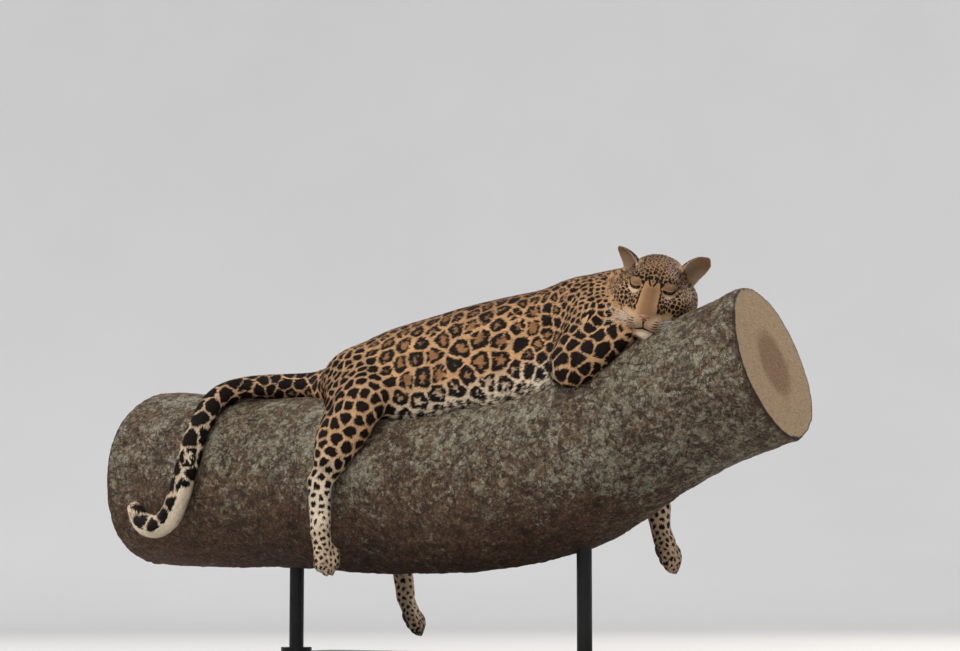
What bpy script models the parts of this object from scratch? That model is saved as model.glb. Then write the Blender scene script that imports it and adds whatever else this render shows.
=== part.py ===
"""A life-size leopard asleep on its belly along a thick branch, as a still museum model.

The branch is a short cut length held over a flat base by two rods. Metres, +Z up. +X points
along the branch towards the head, and -Y is the side of the animal that the camera sees. The
origin is the middle of the base's underside.

The flesh is one smooth shape: tubes and lumps of named sizes, melted together by a distance
field. It is remeshed, settled on that field, thinned out, then parted with thin cuts.
"""

import math

import bmesh
import bpy
import numpy as np
from mathutils import Matrix, Vector

GAP = 0.0003  # left between pieces that touch
FAR = 1.0  # distance given to a point far outside a tube or lump

# Stand
BASE_LENGTH, BASE_WIDTH, BASE_THICK = 1.14, 0.56, 0.024
BASE_CORNER = 0.03
ROD_RADIUS = 0.016
ROD_XS = {"rear": -0.47, "front": 0.25}
COLLAR_RADIUS, COLLAR_HEIGHT = 0.034, 0.014

# Branch: (x, z of its middle, radius), left to right, with its bark
BRANCH_RUN = (
    (-0.86, 0.417, 0.196),
    (-0.74, 0.413, 0.198),
    (-0.46, 0.401, 0.192),
    (-0.20, 0.389, 0.190),
    (0.00, 0.390, 0.190),
    (0.19, 0.424, 0.188),
    (0.29, 0.460, 0.178),
    (0.40, 0.512, 0.164),
    (0.52, 0.565, 0.158),
    (0.68, 0.618, 0.166),
)
BRANCH_SIDES, BRANCH_RINGS = 28, 19
BRANCH_LUMPS = 0.006  # height of the slow swellings along it

# Trunk: (x, z of the middle, half width, half height)
TRUNK_RUN = (
    (-0.395, 0.606, 0.044, 0.036),
    (-0.355, 0.604, 0.076, 0.056),
    (-0.285, 0.618, 0.096, 0.082),
    (-0.200, 0.634, 0.102, 0.100),
    (-0.100, 0.648, 0.110, 0.108),
    (0.000, 0.660, 0.117, 0.116),
    (0.100, 0.674, 0.116, 0.117),
    (0.190, 0.692, 0.108, 0.110),
    (0.260, 0.713, 0.094, 0.099),
    (0.320, 0.738, 0.076, 0.084),
)
NECK_RUN = (
    ((0.250, 0.000, 0.724), 0.082, 0.086),
    ((0.320, 0.012, 0.751), 0.066, 0.073),
    ((0.375, 0.024, 0.777), 0.058, 0.064),
    ((0.412, 0.016, 0.788), 0.052, 0.056),
)

# Head: its place, its turn to the camera, its droop and its lean, and its size beside the
# plain one that the head's own list of lumps describes
HEAD_PLACE = (0.433, -0.035, 0.778)
HEAD_YAW, HEAD_PITCH, HEAD_ROLL = math.radians(-73), math.radians(23), math.radians(-13.5)
HEAD_SCALE = 1.05
EYE_PLACE, EYE_RADIUS = (0.0430, 0.0310, 0.0190), 0.0125
EYE_SOCKET, EYE_SOCKET_RADII = (0.062, 0.041, 0.0175), (0.014, 0.014, 0.0085)
LID = 0.0020  # thickness of an eyelid over the ball

# Ears: the root, the way it stands and the way it opens, in the head's frame
EARS = {
    "ear_left": ((-0.031, 0.057, 0.023), (-0.34, 0.49, 0.81), (0.76, 0.64, -0.15)),
    "ear_right": ((-0.025, -0.051, 0.020), (0.04, -0.47, 0.88), (0.66, -0.66, -0.35)),
}
EAR_HEIGHT, EAR_HALF_WIDTH, EAR_DEPTH, EAR_THICK = 0.059, 0.029, 0.020, 0.0050
EAR_FOOT = -0.15  # how far its foot goes into the head, as a share of its height

# Legs: joints from hip or shoulder to toes, right legs on the camera's side
LEGS = {
    "hindleg_right": {
        "joints": ((-0.295, -0.066, 0.620), (-0.196, -0.172, 0.557), (-0.262, -0.222, 0.388),
                   (-0.258, -0.224, 0.286), (-0.236, -0.220, 0.200)),
        "hind": True,
        "dorsal": (1.0, -0.25, 0.15),
    },
    "hindleg_left": {
        "joints": ((-0.295, 0.066, 0.620), (-0.215, 0.222, 0.462), (-0.342, 0.224, 0.266),
                   (-0.322, 0.222, 0.146), (-0.268, 0.216, 0.044)),
        "hind": True,
        "dorsal": (1.0, 0.20, 0.45),
    },
    "foreleg_right": {
        "joints": ((0.334, -0.084, 0.724), (0.300, -0.152, 0.614), (0.410, -0.104, 0.698),
                   (0.404, -0.074, 0.706), (0.374, -0.010, 0.712)),
        "hind": False,
        "dorsal": (0.3, 0.0, 1.0),
        "paw_apart": False,
    },
    "foreleg_left": {
        "joints": ((0.332, 0.100, 0.715), (0.284, 0.212, 0.500), (0.324, 0.206, 0.320),
                   (0.327, 0.206, 0.298), (0.353, 0.204, 0.230)),
        "hind": False,
        "dorsal": (1.0, 0.1, 0.35),
    },
}

# Tail: (x, y, z, radius) from the root over the branch and down its near side to the hook
TAIL_RUN = (
    (-0.350, 0.000, 0.622, 0.036),
    (-0.415, -0.020, 0.617, 0.030),
    (-0.480, -0.044, 0.617, 0.0275),
    (-0.535, -0.060, 0.616, 0.0265),
    (-0.578, -0.090, 0.608, 0.0262),
    (-0.599, -0.132, 0.585, 0.0262),
    (-0.600, -0.176, 0.543, 0.0262),
    (-0.604, -0.206, 0.492, 0.0262),
    (-0.614, -0.220, 0.430, 0.0262),
    (-0.630, -0.2225, 0.372, 0.0262),
    (-0.656, -0.2225, 0.322, 0.0262),
    (-0.692, -0.2225, 0.302, 0.0262),
    (-0.726, -0.2225, 0.311, 0.0250),
    (-0.750, -0.2225, 0.340, 0.0180),
)

# Cuts: an egg round the head that parts it from the neck, planes across neck and tail
HEAD_EGG = ((0.010, 0, -0.004), (0.116, 0.108, 0.100))
NECK_CUT = ((0.262, 0, 0.75), (0.94, 0, 0.34))
TAIL_CUTS = (
    ("tail_base", (-0.404, -0.015, 0.618), (-1.0, -0.2, 0.0)),
    ("tail_middle", (-0.599, -0.132, 0.585), (-0.1, -0.8, -0.6)),
    ("tail_tip", (-0.616, -0.221, 0.425), (-0.2, -0.1, -1.0)),
)

# Voxel sizes and triangles kept
BODY_VOXEL, HEAD_VOXEL, LIMB_VOXEL = 0.006, 0.0025, 0.008
BODY_TRIANGLES, HEAD_TRIANGLES, LIMB_TRIANGLES = 5900, 2600, 560
LIMB_MARGIN = 0.011  # how far a leg's cut lies outside the leg's own shape
HEAD_REACH = 0.150  # how far round its middle the finer head and its neck are made
NECK_FILLET = 0.010
INSET = 0.008  # how far the coarse body keeps inside the finer head

SHARP_ANGLE = math.radians(40)  # edges bent more than this are shaded sharp

# Colours: (red, green, blue), roughness, metallic
LOOKS = {
    "coat": ((0.62, 0.40, 0.20), 0.75, 0.0),
    "eye": ((0.36, 0.30, 0.10), 0.15, 0.0),
    "nose": ((0.42, 0.20, 0.17), 0.45, 0.0),
    "bark": ((0.24, 0.21, 0.17), 0.90, 0.0),
    "stand": ((0.06, 0.06, 0.065), 0.45, 0.8),
}


def unit(vector):
    """The vector at length 1, as an array."""
    vector = np.array(vector, float)
    return vector / np.linalg.norm(vector)


def smooth_run(run, steps):
    """A Catmull-Rom curve through rows of numbers, with so many steps from row to row."""
    rows = np.array(run, float)
    ends = np.vstack([2 * rows[0] - rows[1], rows, 2 * rows[-1] - rows[-2]])
    made = []
    for a, b, c, d in zip(ends, ends[1:], ends[2:], ends[3:]):
        for t in np.arange(steps) / steps:
            made.append(0.5 * (2 * b + (c - a) * t + (2 * a - 5 * b + 4 * c - d) * t**2
                               + (3 * b - a - 3 * c + d) * t**3))
    return np.array(made + [rows[-1]])


class Lump:
    """An ellipsoid: its middle, three radii and the axes that they lie along."""

    def __init__(self, centre, radii, axes=None):
        self.centre = np.array(centre, float)
        self.radii = np.array(radii, float)
        self.axes = np.eye(3) if axes is None else np.array(axes, float)

    def field(self, points):
        local = (points - self.centre) @ self.axes.T
        k0 = np.linalg.norm(local / self.radii, axis=1)
        k1 = np.linalg.norm(local / self.radii**2, axis=1)
        return k0 * (k0 - 1) / np.maximum(k1, 1e-9)

    def balls(self):
        return [self]


class Tube:
    """A tube of changing oval section: stations of (x, y, z, half width, half height)."""

    def __init__(self, stations, side, steps=4):
        self.rows = smooth_run(stations, steps)
        self.side = unit(side)
        self.reach = self.rows[:, 3:].max() + 0.10

    def frames(self):
        """For each stretch: its start, length, and axes along, across and up."""
        for start, end in zip(self.rows, self.rows[1:]):
            run = end[:3] - start[:3]
            length = np.linalg.norm(run)
            along = run / length
            across = unit(self.side - along * (self.side @ along))
            yield start, end, length, np.array([along, across, np.cross(along, across)])

    def field(self, points):
        return self.field_and_place(points)[0]

    def field_and_place(self, points):
        """The distance to the tube, and how far along it the nearest stretch lies, 0 to 1."""
        found = np.full(len(points), FAR)
        place = np.zeros(len(points))
        low, high = self.rows[:, :3].min(0) - self.reach, self.rows[:, :3].max(0) + self.reach
        near = np.flatnonzero(((points > low) & (points < high)).all(1))
        chosen = points[near]
        best, where = found[near], place[near]
        count = len(self.rows) - 1
        for index, (start, end, length, axes) in enumerate(self.frames()):
            local = (chosen - start[:3]) @ axes.T
            share = np.clip(local[:, 0] / length, 0, 1)
            local[:, 0] -= share * length
            wide = start[3] + share * (end[3] - start[3])
            high = start[4] + share * (end[4] - start[4])
            radii = np.stack([np.minimum(wide, high), wide, high], 1)
            k0 = np.linalg.norm(local / radii, axis=1)
            k1 = np.linalg.norm(local / radii**2, axis=1)
            distance = k0 * (k0 - 1) / np.maximum(k1, 1e-9)
            closer = distance < best
            best[closer] = distance[closer]
            where[closer] = (index + share[closer]) / count
        found[near], place[near] = best, where
        return found, place

    def balls(self):
        made = []
        for start, end, length, axes in self.frames():
            made.append(Lump(start[:3], (min(start[3:]), start[3], start[4]), axes))
        made.append(Lump(end[:3], (min(end[3:]), end[3], end[4]), axes))
        return made


def melt(a, b, reach):
    """Two distance fields joined with a fillet of that reach."""
    share = np.clip(0.5 + 0.5 * (b - a) / reach, 0, 1)
    return b + (a - b) * share - reach * share * (1 - share)


def carve(a, b, reach):
    """The first field with the second taken out of it, with a soft edge."""
    return -melt(-a, b, reach)


def bone_axes(start, end, side):
    """Axes along a bone, across it near the given side, and square to both."""
    along = unit(np.array(end, float) - np.array(start, float))
    across = unit(np.array(side, float) - along * (np.array(side, float) @ along))
    return np.array([along, across, np.cross(along, across)])


def along_bone(start, end, share):
    """The point at that share of the way along a bone."""
    return np.array(start, float) + share * (np.array(end, float) - np.array(start, float))


class Paw:
    """A relaxed cat's paw: knuckle block, four toes with their pads, and the palm pad."""

    BLOCK = ((0.026, 0.0, -0.002), (0.048, 0.0290, 0.0240))
    TOE_SPREAD = (-0.0235, -0.0082, 0.0082, 0.0235)
    TOE_FORWARD = (0.064, 0.075, 0.075, 0.064)
    TOE_RADII = (0.0240, 0.0110, 0.0165)
    TIP_RADII = (0.0125, 0.0098, 0.0125)
    PALM = ((0.048, 0.0, -0.0165), (0.0190, 0.0210, 0.0085))
    PAD_RADII = (0.0100, 0.0080, 0.0055)

    def __init__(self, wrist, forward, dorsal, size):
        forward = unit(forward)
        dorsal = unit(np.array(dorsal, float) - forward * (np.array(dorsal, float) @ forward))
        axes = np.array([forward, np.cross(dorsal, forward), dorsal])
        place = lambda p: np.array(wrist, float) + size * (np.array(p, float) @ axes)
        lump = lambda p, radii: Lump(place(p), size * np.array(radii), axes)
        self.block = [lump(*self.BLOCK)]
        self.toes, self.pads = [], [lump(*self.PALM)]
        for aside, ahead in zip(self.TOE_SPREAD, self.TOE_FORWARD):
            self.toes.append([
                lump((ahead, aside, 0.000), self.TOE_RADII),
                lump((ahead + 0.0150, aside * 1.03, -0.0045), self.TIP_RADII),
            ])
            self.pads.append(lump((ahead + 0.0100, aside * 1.03, -0.0110), self.PAD_RADII))

    def field(self, points):
        found = self.block[0].field(points)
        toes = None
        for root, tip in self.toes:
            toe = melt(root.field(points), tip.field(points), 0.006)
            toes = toe if toes is None else melt(toes, toe, 0.0022)
        found = melt(found, toes, 0.008)
        for pad in self.pads:
            found = melt(found, pad.field(points), 0.0025)
        return found

    def balls(self):
        return self.block + self.pads + [lump for toe in self.toes for lump in toe]


class Leg:
    """A leg: bones with their widths, the muscles on them, and the paw."""

    # Half widths (across the limb, front to back) at each station from the root to the paw
    HIND = ((0.045, 0.058), (0.046, 0.072), (0.041, 0.060), (0.034, 0.048), (0.0235, 0.031),
            (0.0215, 0.0265), (0.0225, 0.0245), (0.0240, 0.0235))
    FORE = ((0.044, 0.066), (0.040, 0.056), (0.036, 0.044), (0.0335, 0.038), (0.0285, 0.031),
            (0.0245, 0.0255), (0.0245, 0.0235), (0.0245, 0.0215))
    HIND_PAW, FORE_PAW = 0.92, 1.02

    def __init__(self, joints, hind, dorsal, paw_apart=True):
        self.paw_apart = paw_apart
        self.joints = [np.array(point) for point in joints]
        root, middle, low, wrist, toe = self.joints
        self.outward = np.sign(middle[1])
        side = (0.15, self.outward, 0.25)
        widths = self.HIND if hind else self.FORE
        centres = [root, along_bone(root, middle, 0.5), middle, along_bone(middle, low, 0.45),
                   low - 0.12 * (low - middle), low + 0.12 * (wrist - low),
                   along_bone(low, wrist, 0.6), wrist]
        self.tube = Tube([(*c, *w) for c, w in zip(centres, widths)], side)
        self.lumps = self.hind_lumps(root, middle, low) if hind else \
            self.fore_lumps(root, middle, low)
        self.paw = Paw(wrist, toe - wrist, dorsal, self.HIND_PAW if hind else self.FORE_PAW)
        self.soft_until = 0.48 if hind else 0.36

    def hind_lumps(self, hip, knee, hock):
        """Thigh, hamstring, kneecap, calf and the point of the hock."""
        thigh = bone_axes(hip, knee, (0.0, self.outward, 0.3))
        shin = bone_axes(knee, hock, (0.0, self.outward, 0.0))
        return [
            Lump(along_bone(hip, knee, 0.35), (0.088, 0.040, 0.066), thigh),
            Lump(along_bone(hip, hock, 0.50) + (0.028, 0.042 * self.outward, 0.0),
                 (0.100, 0.030, 0.040), bone_axes(hip, hock, (0.0, self.outward, 0.3))),
            Lump(along_bone(hip, knee, 0.96), (0.026, 0.026, 0.028), thigh),
            Lump(along_bone(knee, hock, 0.28) - 0.010 * shin[2] * self.outward,
                 (0.062, 0.026, 0.034), shin),
            Lump(along_bone(knee, hock, 0.97) + (-0.014, 0, 0.004), (0.020, 0.012, 0.013)),
        ]

    def fore_lumps(self, shoulder, elbow, wrist):
        """Shoulder blade, upper arm, point of the elbow and the meat of the forearm."""
        blade_top = shoulder + (-0.085, -self.outward * 0.035, 0.050)
        blade = bone_axes(shoulder, blade_top, (0.0, self.outward, 0.2))
        upper = bone_axes(shoulder, elbow, (0.0, self.outward, 0.2))
        fore = bone_axes(elbow, wrist, (0.0, self.outward, 0.0))
        return [
            Lump(along_bone(shoulder, blade_top, 0.50), (0.078, 0.030, 0.050), blade),
            Lump(along_bone(shoulder, elbow, 0.15), (0.048, 0.034, 0.044), upper),
            Lump(along_bone(shoulder, elbow, 0.62), (0.066, 0.034, 0.048), upper),
            Lump(elbow - 0.016 * fore[0], (0.024, 0.022, 0.024), fore),
            Lump(along_bone(elbow, wrist, 0.26), (0.064, 0.032, 0.037), fore),
        ]

    def field_and_place(self, points):
        found, place = self.tube.field_and_place(points)
        for lump in self.lumps:
            found = melt(found, lump.field(points), 0.018)
        near_paw = melt(found, self.paw.field(points), 0.010)
        return np.where(place > 0.5, near_paw, found), place

    def balls(self):
        return self.tube.balls() + self.paw.balls() + self.lumps


class Head:
    """The head in its own frame, +X to the nose and +Y to its left, set in its place."""

    BRIDGE = ((0.026, 0, 0.030, 0.030, 0.018), (0.056, 0, 0.009, 0.0230, 0.0175),
              (0.082, 0, -0.008, 0.0205, 0.0160), (0.102, 0, -0.0215, 0.0165, 0.0130))
    SKULL = (
        # centre, radii, and the fillet that joins each lump
        ((-0.034, 0, 0.014), (0.062, 0.058, 0.046), 0.020),  # braincase
        ((0.004, 0, 0.017), (0.046, 0.050, 0.035), 0.020),  # forehead
        ((-0.012, 0, -0.042), (0.058, 0.052, 0.034), 0.020),  # throat
        ((0.068, 0, -0.034), (0.040, 0.0330, 0.0270), 0.014),  # muzzle
        ((0.046, 0, -0.059), (0.048, 0.0310, 0.0155), 0.012),  # lower jaw
        ((0.086, 0, -0.0625), (0.0185, 0.0225, 0.0135), 0.008),  # chin
    )
    PAIRS = (
        ((0.018, 0.046, -0.010), (0.046, 0.029, 0.026), 0.018),  # cheekbone
        ((-0.012, 0.050, -0.034), (0.044, 0.033, 0.038), 0.020),  # jaw muscle
        ((-0.034, 0.062, -0.026), (0.028, 0.024, 0.038), 0.018),  # cheek ruff
        ((0.032, 0.027, 0.034), (0.021, 0.018, 0.0100), 0.014),  # brow
        ((0.0870, 0.0170, -0.0370), (0.0260, 0.0195, 0.0175), 0.0050),  # whisker pad
        ((0.060, 0.024, -0.010), (0.030, 0.0130, 0.019), 0.018),  # cheek under the eye
        ((0.042, 0.037, -0.036), (0.036, 0.0180, 0.024), 0.018),  # side of the jaw
    )
    NOSE = ((0.1085, 0, -0.0240), (0.0085, 0.0122, 0.0085))
    NOSTRIL = ((0.1155, 0.0062, -0.0252), (0.0055, 0.0024, 0.0030))
    LIP_HEIGHTS = (-0.0500, -0.0512, -0.0532, -0.0548, -0.0552, -0.0540, -0.0515)
    LIP_TURNS = (0, 14, 30, 48, 64, 76, 84)  # degrees round from the front
    LIP_CENTRE_X = 0.058
    LINE_RADIUS = 0.0016
    PHILTRUM_HEIGHTS = (-0.0310, -0.0400, -0.0490)
    SLIT_HALF_WIDTH, SLIT_HALF_HEIGHT, SLIT_SAG = 0.0120, 0.0011, 0.0036

    def __init__(self):
        turn = (Matrix.Rotation(HEAD_YAW, 3, "Z") @ Matrix.Rotation(HEAD_PITCH, 3, "Y")
                @ Matrix.Rotation(HEAD_ROLL, 3, "X"))
        self.axes = np.array(turn).T
        self.place = np.array(HEAD_PLACE)
        self.bridge = Tube(self.BRIDGE, (0, 1, 0))

    def to_local(self, points):
        return (points - self.place) @ self.axes.T / HEAD_SCALE

    def to_world(self, points):
        return np.array(points, float) * HEAD_SCALE @ self.axes + self.place

    def field(self, points):
        local = self.to_local(points)
        near = np.flatnonzero(np.linalg.norm(local, axis=1) < 0.24)
        found = np.full(len(points), FAR)
        found[near] = self.local_field(local[near]) * HEAD_SCALE
        return found

    def local_field(self, p):
        mirrored = p * (1, -1, 1)
        mirrored[:, 1] = np.abs(p[:, 1])
        found = self.bridge.field(p)
        for centre, radii, reach in self.SKULL:
            found = melt(found, Lump(centre, radii).field(p), reach)
        for centre, radii, reach in self.PAIRS:
            found = melt(found, Lump(centre, radii).field(mirrored), reach)
        ball = np.linalg.norm(mirrored - EYE_PLACE, axis=1)
        socket = Lump(EYE_SOCKET, EYE_SOCKET_RADII).field(mirrored)
        found = carve(found, socket, 0.012)
        return melt(found, ball - EYE_RADIUS - LID, 0.0060)

    def egg(self, points):
        """The egg-shaped cut that parts the head from the neck."""
        return Lump(*HEAD_EGG).field(self.to_local(points)) * HEAD_SCALE

    def skin_point(self, start, direction):
        """Where a line from the start, both in the head's frame, leaves the flesh."""
        steps = np.array(start, float) + np.outer(np.arange(0, 0.08, 0.0004), unit(direction))
        outside = np.flatnonzero(self.local_field(steps) > 0)
        return steps[outside[0]]

    def balls(self):
        made = self.bridge.balls()
        for centre, radii, _ in self.SKULL:
            made.append(Lump(centre, radii))
        for centre, radii, _ in self.PAIRS + ((EYE_PLACE, (EYE_RADIUS + LID,) * 3, 0),):
            for sign in (1, -1):
                made.append(Lump(np.array(centre) * (1, sign, 1), radii))
        return [Lump(self.to_world(ball.centre), ball.radii * HEAD_SCALE, ball.axes @ self.axes)
                for ball in made]


class Body:
    """The whole leopard but its ears and eyeballs."""

    def __init__(self):
        self.trunk = Tube([(x, 0, z, wide, high) for x, z, wide, high in TRUNK_RUN], (0, 1, 0))
        self.neck = Tube([(*c, wide, high) for c, wide, high in NECK_RUN], (0, 1, 0))
        self.tail = Tube([(*row[:3], row[3], row[3]) for row in TAIL_RUN], (0.3, 1, 0.2), 3)
        self.lumps = self.trunk_lumps()
        self.head = Head()
        self.legs = {name: Leg(**leg) for name, leg in LEGS.items()}

    def trunk_lumps(self):
        """Ribs, breast, armpits, hips and the belly that sags down both sides of the branch."""
        made = [
            (Lump((0.090, 0, 0.640), (0.190, 0.128, 0.085)), 0.05),
            (Lump((-0.110, 0, 0.622), (0.170, 0.128, 0.075)), 0.05),
            (Lump((0.270, 0, 0.690), (0.100, 0.084, 0.080)), 0.04),
        ]
        for sign in (1, -1):
            made += [
                (Lump((0.232, sign * 0.098, 0.628), (0.052, 0.034, 0.048)), 0.035),
                (Lump((0.080, sign * 0.108, 0.590), (0.190, 0.034, 0.050)), 0.035),
                (Lump((-0.110, sign * 0.112, 0.570), (0.120, 0.032, 0.050)), 0.035),
                (Lump((-0.270, sign * 0.058, 0.640), (0.066, 0.044, 0.046)), 0.03),
            ]
        return made

    def core(self, points):
        found = melt(self.trunk.field(points), self.neck.field(points), 0.04)
        for lump, reach in self.lumps:
            found = melt(found, lump.field(points), reach)
        return melt(found, self.tail.field(points), 0.020)

    def field(self, points):
        """The whole, with the head kept a little inside its finer shape."""
        deep = np.clip(-self.head.egg(points) / 0.012, 0, 1)
        found = melt(self.core(points), self.head.field(points), NECK_FILLET) + INSET * deep
        for leg in self.legs.values():
            limb, place = leg.field_and_place(points)
            fade = np.clip((place - leg.soft_until) / 0.12 + 0.5, 0, 1)
            found = melt(found, limb, 0.034 * (1 - fade) + 0.003 * fade)
        return found

    def head_field(self, points):
        """The head and the neck about it, without the foreleg that it lies on."""
        ball = np.linalg.norm(points - self.head.place, axis=1) - HEAD_REACH
        return np.maximum(melt(self.core(points), self.head.field(points), NECK_FILLET), ball)

    def balls(self):
        made = self.trunk.balls() + self.neck.balls() + self.tail.balls() + self.head.balls()
        for leg in self.legs.values():
            made += leg.balls()
        return made + [lump for lump, _ in self.lumps]


def new_object(name, mesh_or_bmesh):
    """An object in the model's collection, from a mesh or a bmesh."""
    mesh = mesh_or_bmesh
    if isinstance(mesh, bmesh.types.BMesh):
        mesh = bpy.data.meshes.new(name)
        mesh_or_bmesh.to_mesh(mesh)
        mesh_or_bmesh.free()
    made = bpy.data.objects.new(name, mesh)
    MODEL.objects.link(made)
    return made


def apply_modifiers(thing):
    """Replaces the object's mesh by what its modifiers make of it."""
    graph = bpy.context.evaluated_depsgraph_get()
    mesh = bpy.data.meshes.new_from_object(thing.evaluated_get(graph), depsgraph=graph)
    old = thing.data
    thing.modifiers.clear()
    thing.data = mesh
    bpy.data.meshes.remove(old)
    return thing


def coordinates(mesh):
    flat = np.empty(len(mesh.vertices) * 3, np.float32)
    mesh.vertices.foreach_get("co", flat)
    return flat.reshape(-1, 3).astype(float)


def set_coordinates(mesh, points):
    mesh.vertices.foreach_set("co", points.astype(np.float32).ravel())
    mesh.update()


def vertex_normals(mesh):
    flat = np.empty(len(mesh.vertices) * 3, np.float32)
    mesh.vertex_normals.foreach_get("vector", flat)
    return flat.reshape(-1, 3).astype(float)


def settle(thing, field, rounds, reach):
    """Moves a mesh's points along their normals until they lie on the field's surface."""
    mesh = thing.data
    for _ in range(rounds):
        points = coordinates(mesh)
        step = np.clip(field(points), -reach, reach)
        set_coordinates(mesh, points - 0.9 * step[:, None] * vertex_normals(mesh))


def remesh(thing, voxel):
    """A fresh closed surface of even squares, with nothing passing through itself."""
    fresh = thing.modifiers.new("remesh", "REMESH")
    fresh.mode, fresh.voxel_size = "VOXEL", voxel
    return apply_modifiers(thing)


def soft_solid(name, balls, field, voxel, triangles):
    """A closed mesh: balls joined by a voxel remesh, settled on the field and thinned."""
    shape = bmesh.new()
    for ball in balls:
        size = Matrix(ball.axes.T.tolist()) @ Matrix.Diagonal(ball.radii)
        matrix = Matrix.Translation(ball.centre) @ size.to_4x4()
        bmesh.ops.create_icosphere(shape, subdivisions=2, radius=1.03, matrix=matrix)
    thing = remesh(new_object(name, shape), voxel)
    settle(thing, field, 5, 0.008)
    relax = thing.modifiers.new("relax", "SMOOTH")
    relax.factor, relax.iterations = 0.5, 2
    remesh(apply_modifiers(thing), voxel)
    settle(thing, field, 2, 0.4 * voxel)
    thin = thing.modifiers.new("thin", "DECIMATE")
    thin.ratio = min(1.0, triangles / (2.0 * len(thing.data.polygons)))
    thin.use_collapse_triangulate = True
    return apply_modifiers(thing)


def is_closed(mesh):
    """Whether every edge is shared by two faces."""
    uses = np.zeros(len(mesh.edges), int)
    edges = np.empty(len(mesh.loops), np.int32)
    mesh.loops.foreach_get("edge_index", edges)
    np.add.at(uses, edges, 1)
    return bool((uses == 2).all())


def boolean(thing, other, operation):
    """Applies one Boolean to the object, with MANIFOLD where EXACT leaves a tear."""
    spare = thing.data.copy()
    for solver in ("EXACT", "MANIFOLD"):
        cut = thing.modifiers.new("cut", "BOOLEAN")
        cut.operation, cut.object, cut.solver = operation, other, solver
        apply_modifiers(thing)
        if is_closed(thing.data) and len(thing.data.polygons):
            break
        torn = thing.data
        thing.data = spare.copy()
        bpy.data.meshes.remove(torn)
    bpy.data.meshes.remove(spare)
    return thing


def keep_largest(thing):
    """Drops all but the object's largest closed surface."""
    shape = bmesh.new()
    shape.from_mesh(thing.data)
    bmesh.ops.remove_doubles(shape, verts=shape.verts, dist=1e-5)
    bmesh.ops.dissolve_degenerate(shape, edges=shape.edges, dist=1e-5)
    shape.faces.ensure_lookup_table()
    left, groups = set(shape.faces), []
    while left:
        group, queue = set(), [left.pop()]
        while queue:
            face = queue.pop()
            group.add(face)
            for edge in face.edges:
                for beside in edge.link_faces:
                    if beside in left:
                        left.remove(beside)
                        queue.append(beside)
        groups.append(group)
    groups.sort(key=lambda g: sum(face.calc_area() for face in g))
    scraps = [face for group in groups[:-1] for face in group]
    bmesh.ops.delete(shape, geom=scraps, context="FACES")
    loose = [v for v in shape.verts if not v.link_faces]
    bmesh.ops.delete(shape, geom=loose, context="VERTS")
    bmesh.ops.triangulate(shape, faces=shape.faces)
    shape.to_mesh(thing.data)
    shape.free()
    return thing


def remove(*things):
    for thing in things:
        bpy.data.objects.remove(thing)


def copy_of(thing, name):
    return new_object(name, thing.data.copy())


def swollen(thing, by):
    """Moves the object's points out along their normals."""
    points = coordinates(thing.data) + by * vertex_normals(thing.data)
    set_coordinates(thing.data, points)
    return thing


def half_block(point, normal, size=0.5):
    """A cube whose face lies on the plane and which reaches along the normal."""
    normal = unit(normal)
    shape = bmesh.new()
    bmesh.ops.create_cube(shape, size=size)
    turn = Vector(normal).to_track_quat("Z", "Y").to_matrix().to_4x4()
    middle = np.array(point, float) + normal * size / 2
    bmesh.ops.transform(shape, matrix=Matrix.Translation(middle) @ turn, verts=shape.verts)
    return new_object("cutter", shape)


def part_at_plane(thing, name, point, normal, size=1.2):
    """Cuts off what lies beyond the plane into its own object, with the gap between."""
    normal = unit(normal)
    beyond = half_block(np.array(point) + normal * GAP / 2, normal, size)
    short = half_block(np.array(point) - normal * GAP / 2, normal, size)
    piece = copy_of(thing, name)
    boolean(piece, beyond, "INTERSECT")
    boolean(thing, short, "DIFFERENCE")
    remove(beyond, short)
    return keep_largest(piece)


def branch_rows():
    """The branch's stations (x, z, radius), evenly spaced rings on a smooth line."""
    rows = smooth_run(BRANCH_RUN, 10)
    steps = np.r_[0, np.cumsum(np.linalg.norm(np.diff(rows[:, :2], axis=0), axis=1))]
    even = np.linspace(0, steps[-1], BRANCH_RINGS)
    return np.stack([np.interp(even, steps, rows[:, i]) for i in range(3)], 1)


def branch_swell(x, angle):
    """The slow lumps of a grown limb, as a share of BRANCH_LUMPS."""
    return (math.sin(9.0 * x + 2 * angle) + 0.7 * math.sin(17.0 * x - 3 * angle + 1.3)
            + 0.6 * math.sin(5.0 * angle + 6.0 * x)) / 2.3


def make_branch():
    """A loft of rings along the branch, with flat sawn ends."""
    rows = branch_rows()
    shape = bmesh.new()
    rings = []
    for index, (x, z, radius) in enumerate(rows):
        before, after = rows[max(index - 1, 0)], rows[min(index + 1, len(rows) - 1)]
        slope = math.atan2(after[1] - before[1], after[0] - before[0])
        ring = []
        for side in range(BRANCH_SIDES):
            angle = 2 * math.pi * side / BRANCH_SIDES
            out = radius + BRANCH_LUMPS * branch_swell(x, angle)
            up = out * math.sin(angle)
            ring.append(shape.verts.new((x - up * math.sin(slope), out * math.cos(angle),
                                         z + up * math.cos(slope))))
        rings.append(ring)
    for ring, following in zip(rings, rings[1:]):
        for side in range(BRANCH_SIDES):
            after = (side + 1) % BRANCH_SIDES
            shape.faces.new((ring[side], ring[after], following[after], following[side]))
    shape.faces.new(reversed(rings[0]))
    shape.faces.new(rings[-1])
    bmesh.ops.recalc_face_normals(shape, faces=shape.faces)
    bmesh.ops.triangulate(shape, faces=shape.faces)
    return new_object("perch", shape)


def make_cylinder(name, radius, low, high, x, sides=24):
    shape = bmesh.new()
    matrix = Matrix.Translation((x, 0, (low + high) / 2))
    bmesh.ops.create_cone(shape, cap_ends=True, segments=sides, radius1=radius,
                          radius2=radius, depth=high - low, matrix=matrix)
    return new_object(name, shape)


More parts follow.
